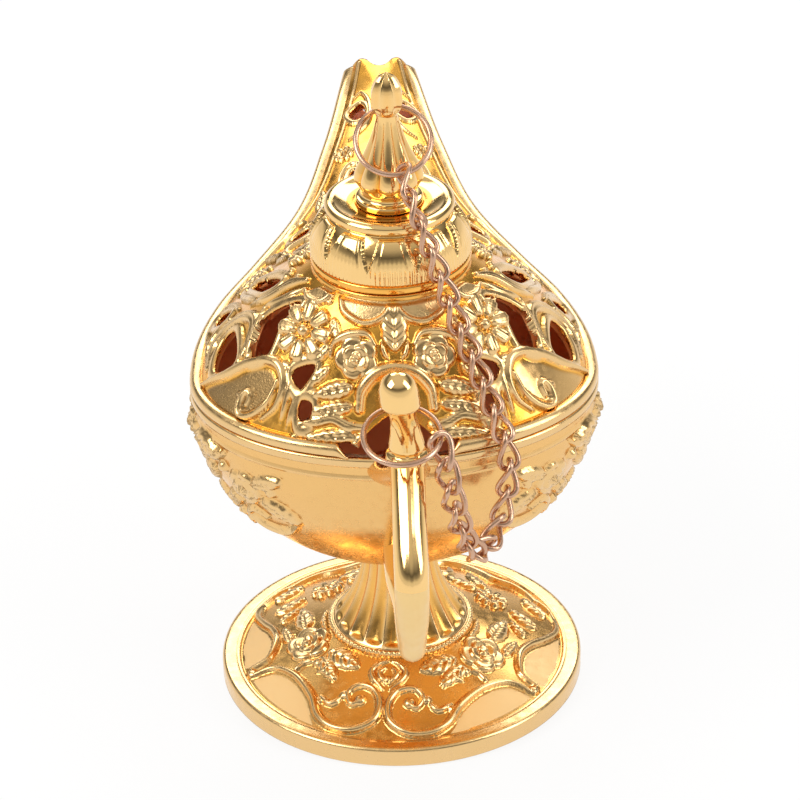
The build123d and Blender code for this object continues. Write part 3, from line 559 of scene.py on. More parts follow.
def cut_openings(plan, faces):
    """Drops the faces inside the openings and draws the points on their edges onto the outlines."""
    gone, moved, gap = np.zeros(len(plan), bool), plan.copy(), np.full(len(plan), 9.0)
    for outline in OPENINGS:
        distance, nearest = outline_gap(plan, smooth_line(outline, 0.2, True))
        within = distance < 0
        gone |= within
        moved[within] = nearest[within]
        gap = np.minimum(gap, distance)
    ring = np.hypot(plan[:, 0], plan[:, 1])
    bore = ring < NECK_BORE
    moved[bore] = plan[bore] * (NECK_BORE / np.maximum(ring[bore], 1e-6))[:, None]
    height = cover_height(plan[:, 0], plan[:, 1])
    arch = RIM + notch_height(plan[:, 0])
    notch = (plan[:, 1] < -NECK_RADIUS) & (height < arch) & (np.abs(plan[:, 0]) < NOTCH_HALF_WIDTH)
    level = LEVEL_HALF * np.sqrt(np.clip(1 - (arch[notch] - RIM - COVER_BAND) / COVER_RISE, 0, 1))
    moved[notch, 1] = -level_reach(level) * np.sqrt(np.clip(1 - (plan[notch, 0] / level) ** 2, 0, 1))
    lip = np.array([0, TIP + TIP_NOTCH_RADIUS - TIP_NOTCH_DEPTH])
    away = np.linalg.norm(plan - lip, axis=1)
    spout = away < TIP_NOTCH_RADIUS
    moved[spout] = lip + (plan[spout] - lip) * (TIP_NOTCH_RADIUS / away[spout])[:, None]
    gone |= bore | notch | spout
    kept = faces[~gone[faces].all(1)]
    edge = np.zeros(len(plan), bool)
    edge[kept] = True
    return np.where((gone & edge)[:, None], moved, plan), kept, gap


# Ornament of the right half of the cover, in plan
COVER_FIELD = [
    (25, -4.6), (21.7, -7.2), (19, -8.7), (16.5, -10.3), (15.6, -11.5), (15.6, -12.4), (17.2, -12.9),
    (20.6, -12.6), (23.4, -9),
]
COVER_LOBES = [  # below the neck
    [(11.2, -5), (10.7, -6.7), (9.2, -7.9), (7.9, -7.7), (7.5, -6.6)],
    [(6.6, -8.6), (6.3, -10.3), (4.4, -11.8), (2.5, -12.1), (1, -11.6), (0.3, -10.5)],
]
COVER_BARS = [  # curve, half width, height, shares of the width at the ends, groove
    # strap and scroll next to the handle
    ([(25.4, -3.2), (23.6, -4.9), (21.9, -6.3), (19, -7.9), (16.4, -9.6), (14.9, -11.2), (14.6, -12.8),
     (15.7, -13.8), (17.6, -13.7)], 0.75, 0.85, (0.5, 0.4)),
    ([(15.3, -12.1), (16.5, -12.9), (18.1, -12.9), (19.6, -12.3), (20.5, -11.4), (20.2, -10.6),
     (19.4, -10.4), (18.9, -11), (19.5, -11.5)], 0.6, 0.95, (0.4, 0.5)),
    ([(13.5, -12.6), (14, -13.5), (14.6, -14.4), (15.2, -15.1)], 0.42, 0.55),
    ([(12.6, -13.9), (13.2, -14.6), (13.9, -15.3), (14.4, -15.8)], 0.42, 0.5),
    # pierced strapwork over the flank
    ([(24.6, -1.6), (24.2, 0.6), (23.4, 2), (21.7, 2.1), (19.6, 0.2), (18.3, -2.2), (18.2, -3.8),
     (18.9, -5), (19.9, -6.2)], 0.95, 0.95, (0.6, 0.4), 0.35),
    ([(16.7, -2.4), (17.5, -4.2), (18.6, -6), (19.4, -7.4)], 0.6, 0.8),
    ([(11, -3.3), (13.2, -1.8), (16.1, -0.9), (18.6, 1.5)], 0.75, 0.8, (0.5, 0.3), 0.25),
    ([(11.4, -4.6), (14.2, -3.7), (16.8, -2.2)], 0.6, 0.7),
    ([(24.9, 1), (24.4, 4.2), (23, 5), (21.6, 4.4), (21.8, 3.2)], 0.55, 0.7),
    ([(20.4, 5), (20.8, 8), (22, 11.6), (23.8, 11.6), (24.8, 8.4), (24.9, 6)], 0.6, 0.7, (0.5, 0.5), 0.2),
    ([(13.2, 0.6), (14.6, 3.6), (16.4, 7.2), (18.2, 10), (19.8, 11)], 0.65, 0.75, (0.4, 0.4), 0.2),
    ([(17.6, 0.6), (18.6, 3.6), (19.6, 7.6), (19.4, 10.2), (18, 11.4)], 0.6, 0.7),
    # below the neck, round the flowers
    ([(8.3, -13.3), (7.8, -12.5), (5.9, -12.4), (3.6, -12.9), (2.5, -13.8)], 0.6, 0.85),
    ([(1.7, -13.7), (1.4, -14.4), (0.9, -14.9)], 0.4, 0.6),
    ([(4.9, -17.4), (4.5, -16.4), (3.3, -15.8), (1.8, -15.5), (0, -15.4)], 0.85, 1, (0.7, 1)),
    ([(4.5, -18.4), (6.4, -18), (8.4, -17.2), (10.6, -16.8), (12.6, -16.2)], 0.75, 0.85, (0.6, 0.3), 0.3),
    ([(13.6, -16.6), (12, -17.6), (10.2, -18.4), (8.1, -19), (6.2, -19.2), (4.8, -18.8)], 0.7, 0.85,
     (0.4, 0.6)),
    # front vault and spout, seen from the other side
    ([(19, 21.4), (16.8, 25), (14.6, 28.4), (13.2, 31.6), (11.6, 32.2), (11, 31)], 0.5, 0.65),
    ([(1.2, 20), (3, 19), (5, 19.6), (6.6, 22), (7.2, 25.2), (6.2, 28.4), (4.4, 29.6), (3, 28.6),
     (3.2, 27.2)], 0.55, 0.7),
    ([(14.6, 19.4), (13.6, 22.6), (10.8, 24), (9, 26.4), (9.2, 29.2), (10.8, 30), (11.6, 29.2)], 0.55, 0.7),
    ([(7.4, 31), (6, 33.6), (2.6, 34), (1.6, 37), (2.4, 41), (4.6, 42.8), (6.2, 40.4), (6.6, 36.4)], 0.5,
     0.65),
    ([(4.8, 49), (3.2, 50.4), (1.8, 53), (1.8, 57), (2.8, 59.4), (4, 58.6)], 0.42, 0.55),
]
COVER_LEAVES = [  # base, tip, half width, height, lobes
    # below the neck, round the flowers
    ((0, -14.4), (0, -10.6), 1.75, 0.95, 4),
    ((5.5, -16), (10.6, -15.2), 1.2, 0.9, 5),
    ((5.6, -17.1), (11, -16.1), 1, 0.85, 6),
    ((5.2, -18.7), (11.8, -17.3), 1, 0.85, 6),
    ((8.5, -12.4), (10.4, -13), 0.8, 0.7, 3),
    ((7.8, -10.4), (7.4, -12.4), 0.7, 0.6, 3),
    ((14.6, -11), (13.6, -12.2), 0.6, 0.6, 3),
    ((8.6, -14), (11, -14.4), 0.7, 0.65, 3),
    ((8, -8.8), (8.6, -6.9), 0.6, 0.6, 3),
    # front vault and spout, seen from the other side
    ((3.4, 11.2), (0.8, 16.2), 1.3, 0.8, 5),
    ((8.6, 10.4), (12.6, 10.6), 1.1, 0.7, 4),
    ((13.4, 12), (15, 17.6), 1.2, 0.8, 5),
    ((20.6, 13.2), (17, 19), 1.2, 0.8, 5),
    ((8, 20.6), (6.6, 16), 1, 0.7, 4),
    ((14.2, 20.4), (16.8, 24.4), 1.2, 0.8, 4),
    ((9.4, 33), (8.6, 38.6), 1, 0.7, 5),
    ((0, 22), (0, 30.5), 1.2, 0.8, 7),
    ((0, 40), (0, 50), 1.3, 0.7, 8),
    ((0, 52), (0, 63), 1.2, 0.6, 9),
]
COVER_DAISIES = [  # middle, radius, height
    ((11.7, -9.7), 4.1, 1),
    ((11.4, 5.2), 2.6, 0.9),
    ((17.4, 13.4), 2.2, 0.8),
    ((9.8, 22.2), 2, 0.8),
    ((5.6, 46), 1.6, 0.6),
]
COVER_ROSES = [  # middle, radius, height, turn
    ((5, -14.3), 2.9, 1.25, 0.4),
    ((6, 12.6), 2.6, 1.1),
]
COVER_BEADS = [
    (13, 1.5), (14.4, 3.6), (16.4, 6), (12.2, -1.4), (9.6, -17.7), (20.4, -9.9),
]
LIP_HEIGHT = 0.45
LIP_HALF_WIDTH = 0.5


def cover_ornament(surface, gap, left):
    """Raises the cast ornament of one half of the cover. The left field is matte and painted dark as shade,
    the right one smooth.
    """
    surface.lift(slice(None), LIP_HEIGHT * dome(((gap - LIP_HALF_WIDTH) / LIP_HALF_WIDTH) ** 2))
    # painted shade: only the left field is darkened, the right one is not
    surface.panel(COVER_FIELD, 1.0 if left else 0.0, 0.05)
    for lobe in COVER_LOBES:
        # the lobes are partly sand, so partly painted dark as shade
        surface.panel(lobe, 0.4, 0.35)
        surface.ridge(lobe, 0.5, 0.8, (0.8, 0.8))
    for bar in COVER_BARS:
        surface.ridge(*bar)
    for leaf in COVER_LEAVES:
        surface.leaf(*leaf)
    for daisy in COVER_DAISIES:
        surface.daisy(*daisy)
    for rose in COVER_ROSES:
        surface.rose(*rose)
    for spot in COVER_BEADS:
        surface.bead(spot, 0.5, 0.55)
    # thin line along both edges of the spout
    distance = np.linspace(TIP, 14, 12)
    surface.ridge(np.column_stack([station(HALF, distance) - COVER_EDGE - 1.2, distance]), 0.3, 0.4, (1, 0.3))


def make_cover():
    plan, faces = cover_plan()
    plan, faces, gap = cut_openings(plan, faces)
    halves = []
    for side in (1, -1):
        surface = Surface(plan, cover_place, (0, 0, 30))
        cover_ornament(surface, gap, side < 0)
        ring = np.hypot(plan[:, 0], plan[:, 1])
        fade = ease((ring - NECK_RADIUS - 0.3) / 0.5) * ease((TIP - 0.6 - plan[:, 1]) / 0.5 + 0.2)
        surface.height *= fade
        points = surface.raised()
        points[np.abs(plan[:, 0]) < 1e-6, 0] = 0
        points[:, 2] += tip_lift(points[:, 0], points[:, 1])
        points[:, 0] *= side
        # painted shade of the relief's ground, and the sand whose colour is painted shade
        halves.append((points, faces[:, ::side], surface.shade_and_stain()))
    points, faces, shade_and_stain = welded(halves)
    piece = add_piece("cover_shell", points, faces, [gold, inside_painted_bounce], "body", ["cover"], shade_and_stain)
    thicken(piece, WALL)


RIM_REAR_ROWS = 160
RIM_FRONT_ROWS = 220


def rim_outline(start_share):
    """The rim seen in plan, from a place on the rear right, round the spout side to the tip, with heights."""
    turn = np.linspace(np.arccos(start_share), 0, RIM_REAR_ROWS)
    rear = np.column_stack([HALF_WIDTH * np.cos(turn), -REAR_REACH * np.sin(turn), np.full(len(turn), RIM)])
    forward = np.linspace(0, TIP, RIM_FRONT_ROWS)[1:]
    front = np.column_stack([station(HALF, forward), forward, station(EDGE, forward)])
    return np.vstack([rear, front])


def rim_band(name, profile, start_share, nodes, top_lifts):
    """A moulding along both sides of the rim. The profile is a closed section of (outward, up) places."""
    line = rim_outline(start_share)
    tangent = unit(np.gradient(line, axis=0))
    outward = unit(np.cross(tangent, [0, 0, 1.0]))
    taper = 0.15 + 0.85 * ease(np.arange(len(line)) / 8) if start_share > 0 else np.ones(len(line))
    section = np.array(profile) * taper[:, None, None]
    points = line[:, None] + outward[:, None] * section[..., :1] + np.array([0, 0, 1.0]) * section[..., 1:]
    if top_lifts:
        points[..., 2] += tip_lift(points[..., 0], points[..., 1])
    points, faces = capped(points)
    points, faces, shade_and_stain = mirrored(points, faces, np.zeros(len(points)))
    add_piece(name, points, faces, [gold], "body", nodes, shade_and_stain)


# Bowl

REAR_TURN = 38.0
BOWL_FRONT_ROWS = 190
BOWL_REAR_ROWS = 130
BOWL_COLUMNS = 120
# Shares of the width that close the bowl over the stem
CLOSING = (0.75, 0.5, 0.25, 0.0)


def bowl_place(coords):
    """Bowl points, by mm from the tip (less than 0) to mm round the rear, and the angle down from the rim."""
    along, turn = coords[:, 0], coords[:, 1]
    forward = np.clip(-along, 0, TIP)
    half = station(HALF, forward) - BOWL_PROUD
    drop = station(DEPTH, forward) - BOWL_BAND
    base = station(EDGE, forward) - BOWL_BAND
    angle = np.clip(along, 0, None) / REAR_TURN * pi / 2
    x = half * np.cos(turn) * np.cos(angle)
    y = np.where(along > 0, -(REAR_REACH - BOWL_PROUD) * np.cos(turn) * np.sin(angle), -along)
    return np.column_stack([x, y, base - drop * np.sin(turn)])


def bowl_ornament(surface):
    """Floral relief on the flanks of the bowl; its rear stays smooth."""
    edge_line = [(-60, 0.16), (-40, 0.11), (-20, 0.075), (0, 0.07), (20, 0.07), (37.9, 0.07)]
    surface.ridge(edge_line, 0.3, 0.3, (0.5, 1))
    surface.rose((-2, 0.36), 4.4, 1.5)
    surface.rose((16, 0.3), 2.8, 1.2, 0.5)
    surface.rose((1, 0.14), 2.4, 1.7, 0.2)
    surface.daisy((-20, 0.34), 3.4, 1.1)
    surface.daisy((8, 0.62), 2.8, 1.0)
    for base, tip, width in (
        ((3, 0.4), (9, 0.28), 1.7),
        ((3, 0.3), (8, 0.16), 1.4),
        ((-7, 0.34), (-14, 0.22), 1.7),
        ((-6, 0.44), (-13, 0.48), 1.7),
        ((-2, 0.54), (-3, 0.76), 1.8),
        ((3, 0.5), (7, 0.52), 1.3),
        ((19, 0.34), (24, 0.46), 1.4),
        ((18, 0.24), (23, 0.16), 1.2),
        ((13, 0.38), (11, 0.5), 1.2),
        ((-24, 0.32), (-31, 0.3), 1.5),
        ((-21, 0.46), (-26, 0.6), 1.5),
    ):
        surface.leaf(base, tip, width, 1.0, 5)
    for base, tip in (((-3, 0.13), (-11, 0.12)), ((5, 0.13), (12, 0.12))):
        surface.leaf(base, tip, 1.6, 1.5, 4)
    for curve in (
        [(24, 0.46), (21, 0.58), (16, 0.6), (14, 0.52), (16, 0.46), (18, 0.5)],
        [(7, 0.74), (2, 0.86), (-4, 0.88), (-9, 0.78), (-8, 0.68), (-5, 0.7)],
        [(-13, 0.58), (-17, 0.66), (-22, 0.7), (-27, 0.64), (-28, 0.54), (-25, 0.5)],
        [(-31, 0.24), (-37, 0.3), (-43, 0.36), (-48, 0.34), (-48, 0.26), (-45, 0.26)],
        [(13, 0.12), (10, 0.18), (7, 0.14)],
    ):
        surface.ridge(curve, 0.65, 0.9)
    beads = [(12, 0.22), (5, 0.22), (-10, 0.3), (-16, 0.48), (21, 0.26), (22, 0.38), (11, 0.44), (-34, 0.26)]
    for spot in beads:
        surface.bead(spot, 0.8, 0.9)


def make_bowl():
    rear = np.linspace(0, REAR_TURN, BOWL_REAR_ROWS + 1)[1:]
    along = np.concatenate([np.linspace(-TIP, 0, BOWL_FRONT_ROWS), rear])
    forward = np.clip(-along, 0, TIP)
    reach = (station(EDGE, forward) - BOWL_BAND - STEM_HEIGHT) / (station(DEPTH, forward) - BOWL_BAND)
    deepest = np.arcsin(np.clip(reach, 0, 1))
    turn = deepest[:, None] * np.linspace(0, 1, BOWL_COLUMNS)
    coords = np.stack([np.repeat(along[:, None], BOWL_COLUMNS, 1), turn], -1)
    surface = Surface(coords.reshape(-1, 2), bowl_place, (0, 0, 52))
    bowl_ornament(surface)
    low = surface.points[:, 2]
    surface.height *= ease((low - STEM_HEIGHT) / 2) * ease((TIP + surface.coords[:, 0]) / 3)
    points = surface.raised().reshape(len(along), BOWL_COLUMNS, 3)
    points[-1, :, 0] = 0
    closing = [points]
    for share in CLOSING:
        ring = points[:, -1:].copy()
        ring[..., 0] *= share
        ring[along > 0, :, 1] *= share
        closing.append(ring)
    points = np.concatenate(closing, 1)
    # painted shade in the ground of the bowl's relief, at 0.35 of its strength
    shade_and_stain = surface.shade_and_stain(0.5)[:, 0].reshape(len(along), -1) * 0.35
    shade_and_stain = np.pad(shade_and_stain, ((0, 0), (0, len(CLOSING))))
    faces = grid_faces(len(along), points.shape[1])
    flat = points.reshape(-1, 3)
    flat[np.abs(flat[:, 0]) < 1e-4, 0] = 0
    points, faces, shade_and_stain = mirrored(flat, faces, shade_and_stain.ravel())
    piece = add_piece("bowl_shell", points, faces, [gold, inside_painted_bounce], "body", ["bowl"], shade_and_stain)
    thicken(piece, WALL)


# Turned forms


def dense(profile, step):
    """A profile of (radius, height) points, resampled so that no run is longer than step."""
    runs = [np.array(profile[:1], float)]
    for a, b in zip(np.array(profile[:-1], float), np.array(profile[1:], float)):
        count = max(1, int(np.ceil(np.linalg.norm(b - a) / step)))
        runs.append(a + (b - a) * np.linspace(0, 1, count + 1)[1:, None])
    return np.vstack(runs)


def turned(profile, columns, raise_by=None, centre=(0, 0)):
    """A form turned about a vertical axis, with the relief raise_by(angle, radius, height) on it."""
    radius, height = profile[:, 0], profile[:, 1]
    tangent = unit(np.gradient(profile, axis=0))
    angle = around(columns)
    r = np.repeat(radius[:, None], columns, 1)
    z = np.repeat(height[:, None], columns, 1)
    lift = np.zeros_like(r) if raise_by is None else raise_by(np.broadcast_to(angle, r.shape), r, z)
    r_out = np.maximum(r + lift * tangent[:, 1:], 0)
    z_out = z - lift * tangent[:, :1]
    points = np.stack([centre[0] + r_out * np.cos(angle), centre[1] + r_out * np.sin(angle), z_out], -1)
    return points.reshape(-1, 3), grid_faces(len(profile), columns, True), lift.ravel()


def arc(start, end, bulge, count):
    """Points of a shallow arc between two profile points; bulge is its height to the left."""
    start, end = np.array(start, float), np.array(end, float)
    t = np.linspace(0, 1, count)[:, None]
    side = np.array([-(end - start)[1], (end - start)[0]])
    return (start + (end - start) * t + unit(side) * bulge * 4 * t * (1 - t)).tolist()


LID_PETALS = 10
LID_SIDES = 480
NECK_SIDES = 240
FINIAL_SIDES = 160
PETALS_LOW = 65.9
PETALS_HEIGHT = 5.6
FINIAL_LOBES = 8


def lid_relief(angle, radius, height):
    """Broad petals with a line inside their edge and fine upright lines, parted by wedges at the top."""
    share = (height - PETALS_LOW) / PETALS_HEIGHT
    on_body = (share > 0) & (share < 1) & (radius > 7.9)
    across = swing(angle, LID_PETALS)
    rise = np.clip((share - 0.3) / 0.7, 0, 1)
    edge = 1.02 - 0.42 * rise**0.85
    rim = hump(edge - across, 0.07) * (share > 0.25)
    inner = hump(0.68 * edge - across, 0.05) * np.clip((share - 0.3) * 4, 0, 1)
    lines = np.cos(across * 11 * pi) * np.clip((0.62 - share) / 0.3, 0, 1)
    petal = 0.4 + 0.1 * rim - 0.1 * inner + 0.05 * lines
    round_top = np.clip((1 - share) / 0.08, 0, 1) ** 0.5
    return np.where(on_body & (across < edge), petal * round_top, 0)


def make_lid():
    skirt = [
        (8.35, 61.6), (8.35, 64.55), (10.3, 64.6), (10.6, 64.75), (10.65, 65.2), (10.55, 65.6),
        (10.3, 65.75), (10.2, 65.95),
    ]
    shoulder = [
        (7.95, 71.75), (8.2, 71.95), (8.5, 72.3), (8.6, 72.7), (8.5, 73.1), (8.2, 73.4), (7.8, 73.5),
        (7.3, 73.45),
    ]
    inside = [
        (4.3, 72.9), (4.2, 72), (2, 71.75), (2, 71.2), (6.9, 70.9), (7.2, 66), (7.2, 61.8), (7.6, 61.6),
        (8.35, 61.6),
    ]
    petals, dish = arc((10.2, 66), (8.1, 71.6), -0.75, 40), arc((7.2, 73.4), (4.6, 72.95), 0.18, 12)
    profile = dense(skirt + petals + shoulder + dish + inside, 0.16)
    points, faces, lift = turned(profile, LID_SIDES, lid_relief)
    tall = np.repeat(profile[:, 1], LID_SIDES)
    # painted shade: strong on the skirt band under the petals, light in the ground between them, full in the
    # dish under the finial
    ground = ((tall > 64.5) & (tall < 66.0)) * 0.8 + ((tall > 66.0) & (tall < 71.2) & (lift < 0.1)) * 0.2
    ground += (tall > 72.8) & (np.hypot(points[:, 0], points[:, 1]) < 5.6)
    add_piece("lid_shell", points, faces, [polished], "lid", ["lid"], ground)
    neck = [
        (8.6, 62.6), (10.1, 62.6), (10.5, 63.2), (10.62, 63.9), (10.5, 64.4), (10.2, 64.5), (8.6, 64.5),
        (8.6, 62.6),
    ]
    points, faces, _ = turned(dense(neck, 0.3), NECK_SIDES)
    # painted shade all over the ring under the lid's skirt
    add_piece("neck_ring", points, faces, [gold], "body", ["cover"], np.full(len(points), 0.8))


def finial_relief(angle, radius, height):
    """Rounded lobes on the bell of the finial and facets on its bud."""
    across = swing(angle, FINIAL_LOBES, 0.5)
    on_bell = ease((height - 74.9) / 0.8) * ease((85.4 - height) / 1.0)
    facet = radius * (cos(pi / FINIAL_LOBES) / np.cos(across * pi / FINIAL_LOBES) - 1)
    on_bud = ease((height - 86.0) / 0.5)
    return -0.62 * across**2 * on_bell * radius / 4 + facet * on_bud * 1.6


def make_finial():
    bell = [(3.65, 74.9), (4.5, 76.2), (4.35, 77.6), (3.2, 80), (2.15, 82.6), (1.5, 84.8), (1.35, 85.6)]
    bud = [(1.4, 85.75), (1.9, 86.5), (2.2, 87.8), (1.95, 89.4), (1.25, 90.7), (0.35, 91.4)]
    profile = (
        [(0.3, 73.02), (4.3, 73.02), (4.45, 73.15), (4.45, 73.75), (4.3, 73.9)]
        + arc((4.1, 73.95), (3.6, 74.8), 0.22, 8)
        + smooth_line(bell, 0.2).tolist()
        + smooth_line(bud, 0.15).tolist()
        + [(0, 91.5)]
    )
    points, faces, lift = turned(dense(profile, 0.14), FINIAL_SIDES, finial_relief)
    # painted shade where the lobes and facets are cut in
    add_piece("finial_cast", points, faces, [polished], "lid", ["finial"], np.clip(-lift / 0.6, 0, 1) ** 2)


# Foot

PLATE_INNER = 10.0
PLATE_TOP = 7.3
PLATE_OUTER = 22.4
PLATE_EDGE = 2.45
PLATE_COLUMNS = 760
PLATE_ROWS = 84
FOOT_TURN = radians(-9.5)
STEM_RADIUS = 4.9
STEM_LOW = 8.2
FLARE_RADIUS = 19.39
FLARE_ROWS = 70
STEM_SIDES = 480
FLUTES = 20
STEM_BEADS = 90


def plate_place(plan):
    ring = np.hypot(plan[:, 0], plan[:, 1])
    height = PLATE_EDGE + (PLATE_OUTER - ring) * (PLATE_TOP - PLATE_EDGE) / (PLATE_OUTER - PLATE_INNER)
    return np.column_stack([plan, height])


# Ornament of one half of the plate, in plan
FOOT_SCROLLS = [
    [(19, -9.7), (17.2, -9.2), (15.4, -9.6), (12.7, -11.8), (10.2, -15.4), (8.9, -18.6), (6.6, -20.6),
     (3.6, -21), (1.1, -19.5), (0.6, -17), (1.7, -14.9), (3.8, -14.3), (5.1, -15.5), (4.5, -17.1),
     (3.3, -16.7)],
    [(19.8, -8.4), (17.4, -6.8), (16.9, -3.4), (17.9, -0.6), (19.5, 1.7), (20.9, 4.4), (21, 7.4),
     (19.8, 10), (17.8, 12)],
    [(17.4, 12), (15.8, 14), (13.8, 15.4), (11.2, 16), (9.2, 17.8), (6.4, 19.8), (3.6, 20.4), (1.1, 19),
     (0.6, 17), (1.7, 14.9), (3.8, 14.3), (5.1, 15.5), (4.5, 17.1)],
]
FOOT_BARS = [
    [(9, -15.5), (7.4, -16.9), (5.8, -15.9)],
    [(0.5, -14.8), (1.9, -13.2), (2.3, -12), (1.4, -10.9), (0.2, -10.4)],
    [(0.3, -13.9), (1, -12.9), (1.2, -12.2), (0.5, -11.5)],
    [(13.6, -10.8), (12, -9.4), (10.4, -9.6)],
    [(7.6, -13.2), (8.6, -11.6), (10, -11.4)],
    [(0.6, 14.6), (1.9, 12.2), (1, 10.4)],
]
FOOT_LEAVES = [  # base, tip, half width
    ((8.8, -8.2), (4.2, -11.4), 1.6),
    ((9.9, -9), (7.2, -13), 1.2),
    ((12.9, -2.6), (14.2, 3), 1.4),
    ((14.9, -4.6), (16.2, -1), 0.9),
    ((9.6, -3.6), (10.4, 0.8), 1),
    ((18.4, 4), (14.4, 6.6), 1.2),
    ((19.2, 8.2), (15.6, 11.6), 1.2),
    ((9.2, 10.4), (4.8, 12.8), 1.2),
    ((10.4, 11.6), (7.2, 16.4), 1),
    ((17.2, 1), (14.8, 3.4), 0.8),
]
FOOT_BEADS = [
    ((19.6, -9.3), 0.85), ((17.6, 12.2), 0.8), ((0, -13.2), 0.5), ((3.4, -16.5), 0.85), ((5.6, -15.6), 0.7),
    ((10.2, -9.7), 0.7), ((9.2, -16.2), 0.6),
]
FOOT_FIELDS = [
    [(19.4, -10.4), (17.2, -9.9), (15.7, -10.2), (13.2, -12.2), (10.8, -15.6), (9.6, -18.8), (9.4, -20.2),
     (12, -18.8), (15.2, -16.2), (18, -13)],
    [(20.8, -8), (18, -6.4), (17.5, -3.5), (18.5, -0.9), (20, 1.3), (21.5, 4), (22.1, 2.8), (22.2, -2.4),
     (21.6, -5.4)],
]


def flipped(places, hand):
    return np.array(places) * [hand, 1]


def foot_ornament(surface):
    """Scroll borders, roses and leaves on the plate, alike on both sides of its own axis."""
    for hand in (1, -1):
        for curve in FOOT_SCROLLS:
            surface.ridge(flipped(curve, hand), 0.6, 0.85, (0.6, 0.6))
        for curve in FOOT_BARS:
            surface.ridge(flipped(curve, hand), 0.45, 0.6)
        surface.rose(flipped((12, -5.8), hand), 3.3, 1.3, 0.3 * hand)
        surface.daisy(flipped((11.6, 8.4), hand), 2.5, 0.9)
        for base, tip, width in FOOT_LEAVES:
            surface.leaf(flipped(base, hand), flipped(tip, hand), width, 0.75, 4)
        for spot, radius in FOOT_BEADS:
            surface.bead(flipped(spot, hand), radius, radius * 0.8)
        for field in FOOT_FIELDS:
            surface.panel(flipped(field, hand))


def stem_relief(angle, radius, height):
    """Hollow flutes between thin ribs, over a ring of fine beads."""
    on_flare = ease((height - 8.4) / 0.8) * ease((20.3 - height) / 0.6) * (radius > 4.4)
    inner = (radius < 8.5) & (height < 17.9) & (radius < 3.4 + (18.0 - height) * 0.4)
    depth = 0.55 * (radius / 9.3) ** 0.6
    flute = -depth * (1 - swing(angle, FLUTES) ** 2) * np.where(inner, 0, on_flare)
    ring = (height > 7.55) & (height < 8.25) & (radius > 9.4)
    return flute + 0.12 * ring * np.cos(angle * STEM_BEADS)


def make_foot():
    angle = around(PLATE_COLUMNS)
    ring = np.linspace(PLATE_OUTER, PLATE_INNER - 0.2, PLATE_ROWS)[:, None]
    plan = np.stack([ring * np.cos(angle), ring * np.sin(angle)], -1).reshape(-1, 2)
    surface = Surface(plan, plate_place, (0, 0, -40))
    foot_ornament(surface)
    away = np.hypot(plan[:, 0], plan[:, 1])
    surface.height *= ease((PLATE_OUTER - away) / 0.4) * ease((away - PLATE_INNER) / 0.6)
    turn = np.array([[cos(FOOT_TURN), sin(FOOT_TURN)], [-sin(FOOT_TURN), cos(FOOT_TURN)]])
    top = surface.raised()
    top[:, :2] = top[:, :2] @ turn
    edge = [
        (9, 5.6), (22.6, 1), (22.8, 0.7), (22.8, 0.1), (23, 0), (24.7, 0), (25, 0.25), (25, 2.3),
        (24.9, 2.6), (24.7, 2.76), (24.5, 2.82), (23, 2.82), (22.85, 2.72), (22.75, 2.8), (22.55, 2.72),
        (22.4, 2.45),
    ]
    under, under_faces, _ = turned(dense(edge, 0.3), PLATE_COLUMNS)
    under[:, :2] = under[:, :2] @ turn
    # painted shade in the ground of the plate's relief, a little over half strength; the third column marks
    # the plain panels
    shades = np.column_stack([surface.shade_and_stain(0.4) * [0.55, 1], surface.plain])
    top_faces = grid_faces(PLATE_ROWS, PLATE_COLUMNS, True)
    parts = [(top, top_faces, shades), (under, under_faces, np.zeros((len(under), 3)))]
    points, faces, shades = welded(parts)
    plate = add_piece("foot_plate", points, faces, [gold, satin_gold_painted_light], "body", ["foot"], shades[:, :2])
    # the plain panels get the satin gold, painted lighter
    paint(plate, shades[:, 2] > 0.5)
    flare = [(PLATE_INNER, PLATE_TOP - 0.1), (10, 7.5), (10, 8), (9.8, 8.3), (9.5, 8.3), (9.3, 8.15)]
    sweep = np.arcsin((STEM_HEIGHT - STEM_LOW) / FLARE_RADIUS)
    for t in np.linspace(0, 1, FLARE_ROWS)[::-1] * sweep:
        flare.append((STEM_RADIUS + FLARE_RADIUS * (1 - cos(t)), STEM_HEIGHT - FLARE_RADIUS * sin(t)))
    flare += [(3.4, 20.45), (1.75, 20.4), (1.75, 18.05), (3.3, 18), (5, 12), (7.9, 5.6), (9, 5.6)]
    points, faces, lift = turned(dense(flare, 0.25), STEM_SIDES, stem_relief)
    # painted shade in the hollow flutes
    add_piece("foot_stem", points, faces, [gold], "body", ["foot"], np.clip(-lift / 0.35, 0, 1) * 0.8)


# Handle

BAR_SIDES = 48
KNOB_SIDES = 96
KNOB_PETALS = 4
TULIP_LOW = 53.9
HANDLE_LEAN = 0.9
# Painted reflection of the white floor: the bar is paler below and behind these
PALE_BELOW = 41.0
PALE_BEHIND = 33.0


def tube(line, across, upward, relief):
    """A cast bar along a line in the middle plane; across and upward are its half widths at each point."""
    tangent = unit(np.gradient(line, axis=0))
    side = np.array([1.0, 0, 0])
    normal = unit(np.cross(tangent, side))
    angle = around(BAR_SIDES)
    swell = relief(np.linspace(0, 1, len(line))[:, None], angle)
    points = (
        line[:, None]
        + side * (across[:, None] * swell * np.cos(angle))[..., None]
        + normal[:, None] * (upward[:, None] * swell * np.sin(angle))[..., None]
    )
    return capped(points)


def handle_lean(back, height):
    """The cast handle stands a little askew: its bar is off the middle plane, its knob and roots are not."""
    return HANDLE_LEAN * ease((63.5 - height) / 9) * ease((back - 20) / 8)


def handle_line(points, step):
    """A smooth line through places given as (back, height), with the lean of the handle."""
    path = smooth_line(points, step)
    return np.column_stack([handle_lean(*path.T), -path[:, 0], path[:, 1]])


def parting(along, angle):
    """A thin seam on both sides of the bar."""
    return 1 + 0.05 * hump(np.cos(angle), 0.1) * (along > 0.05)


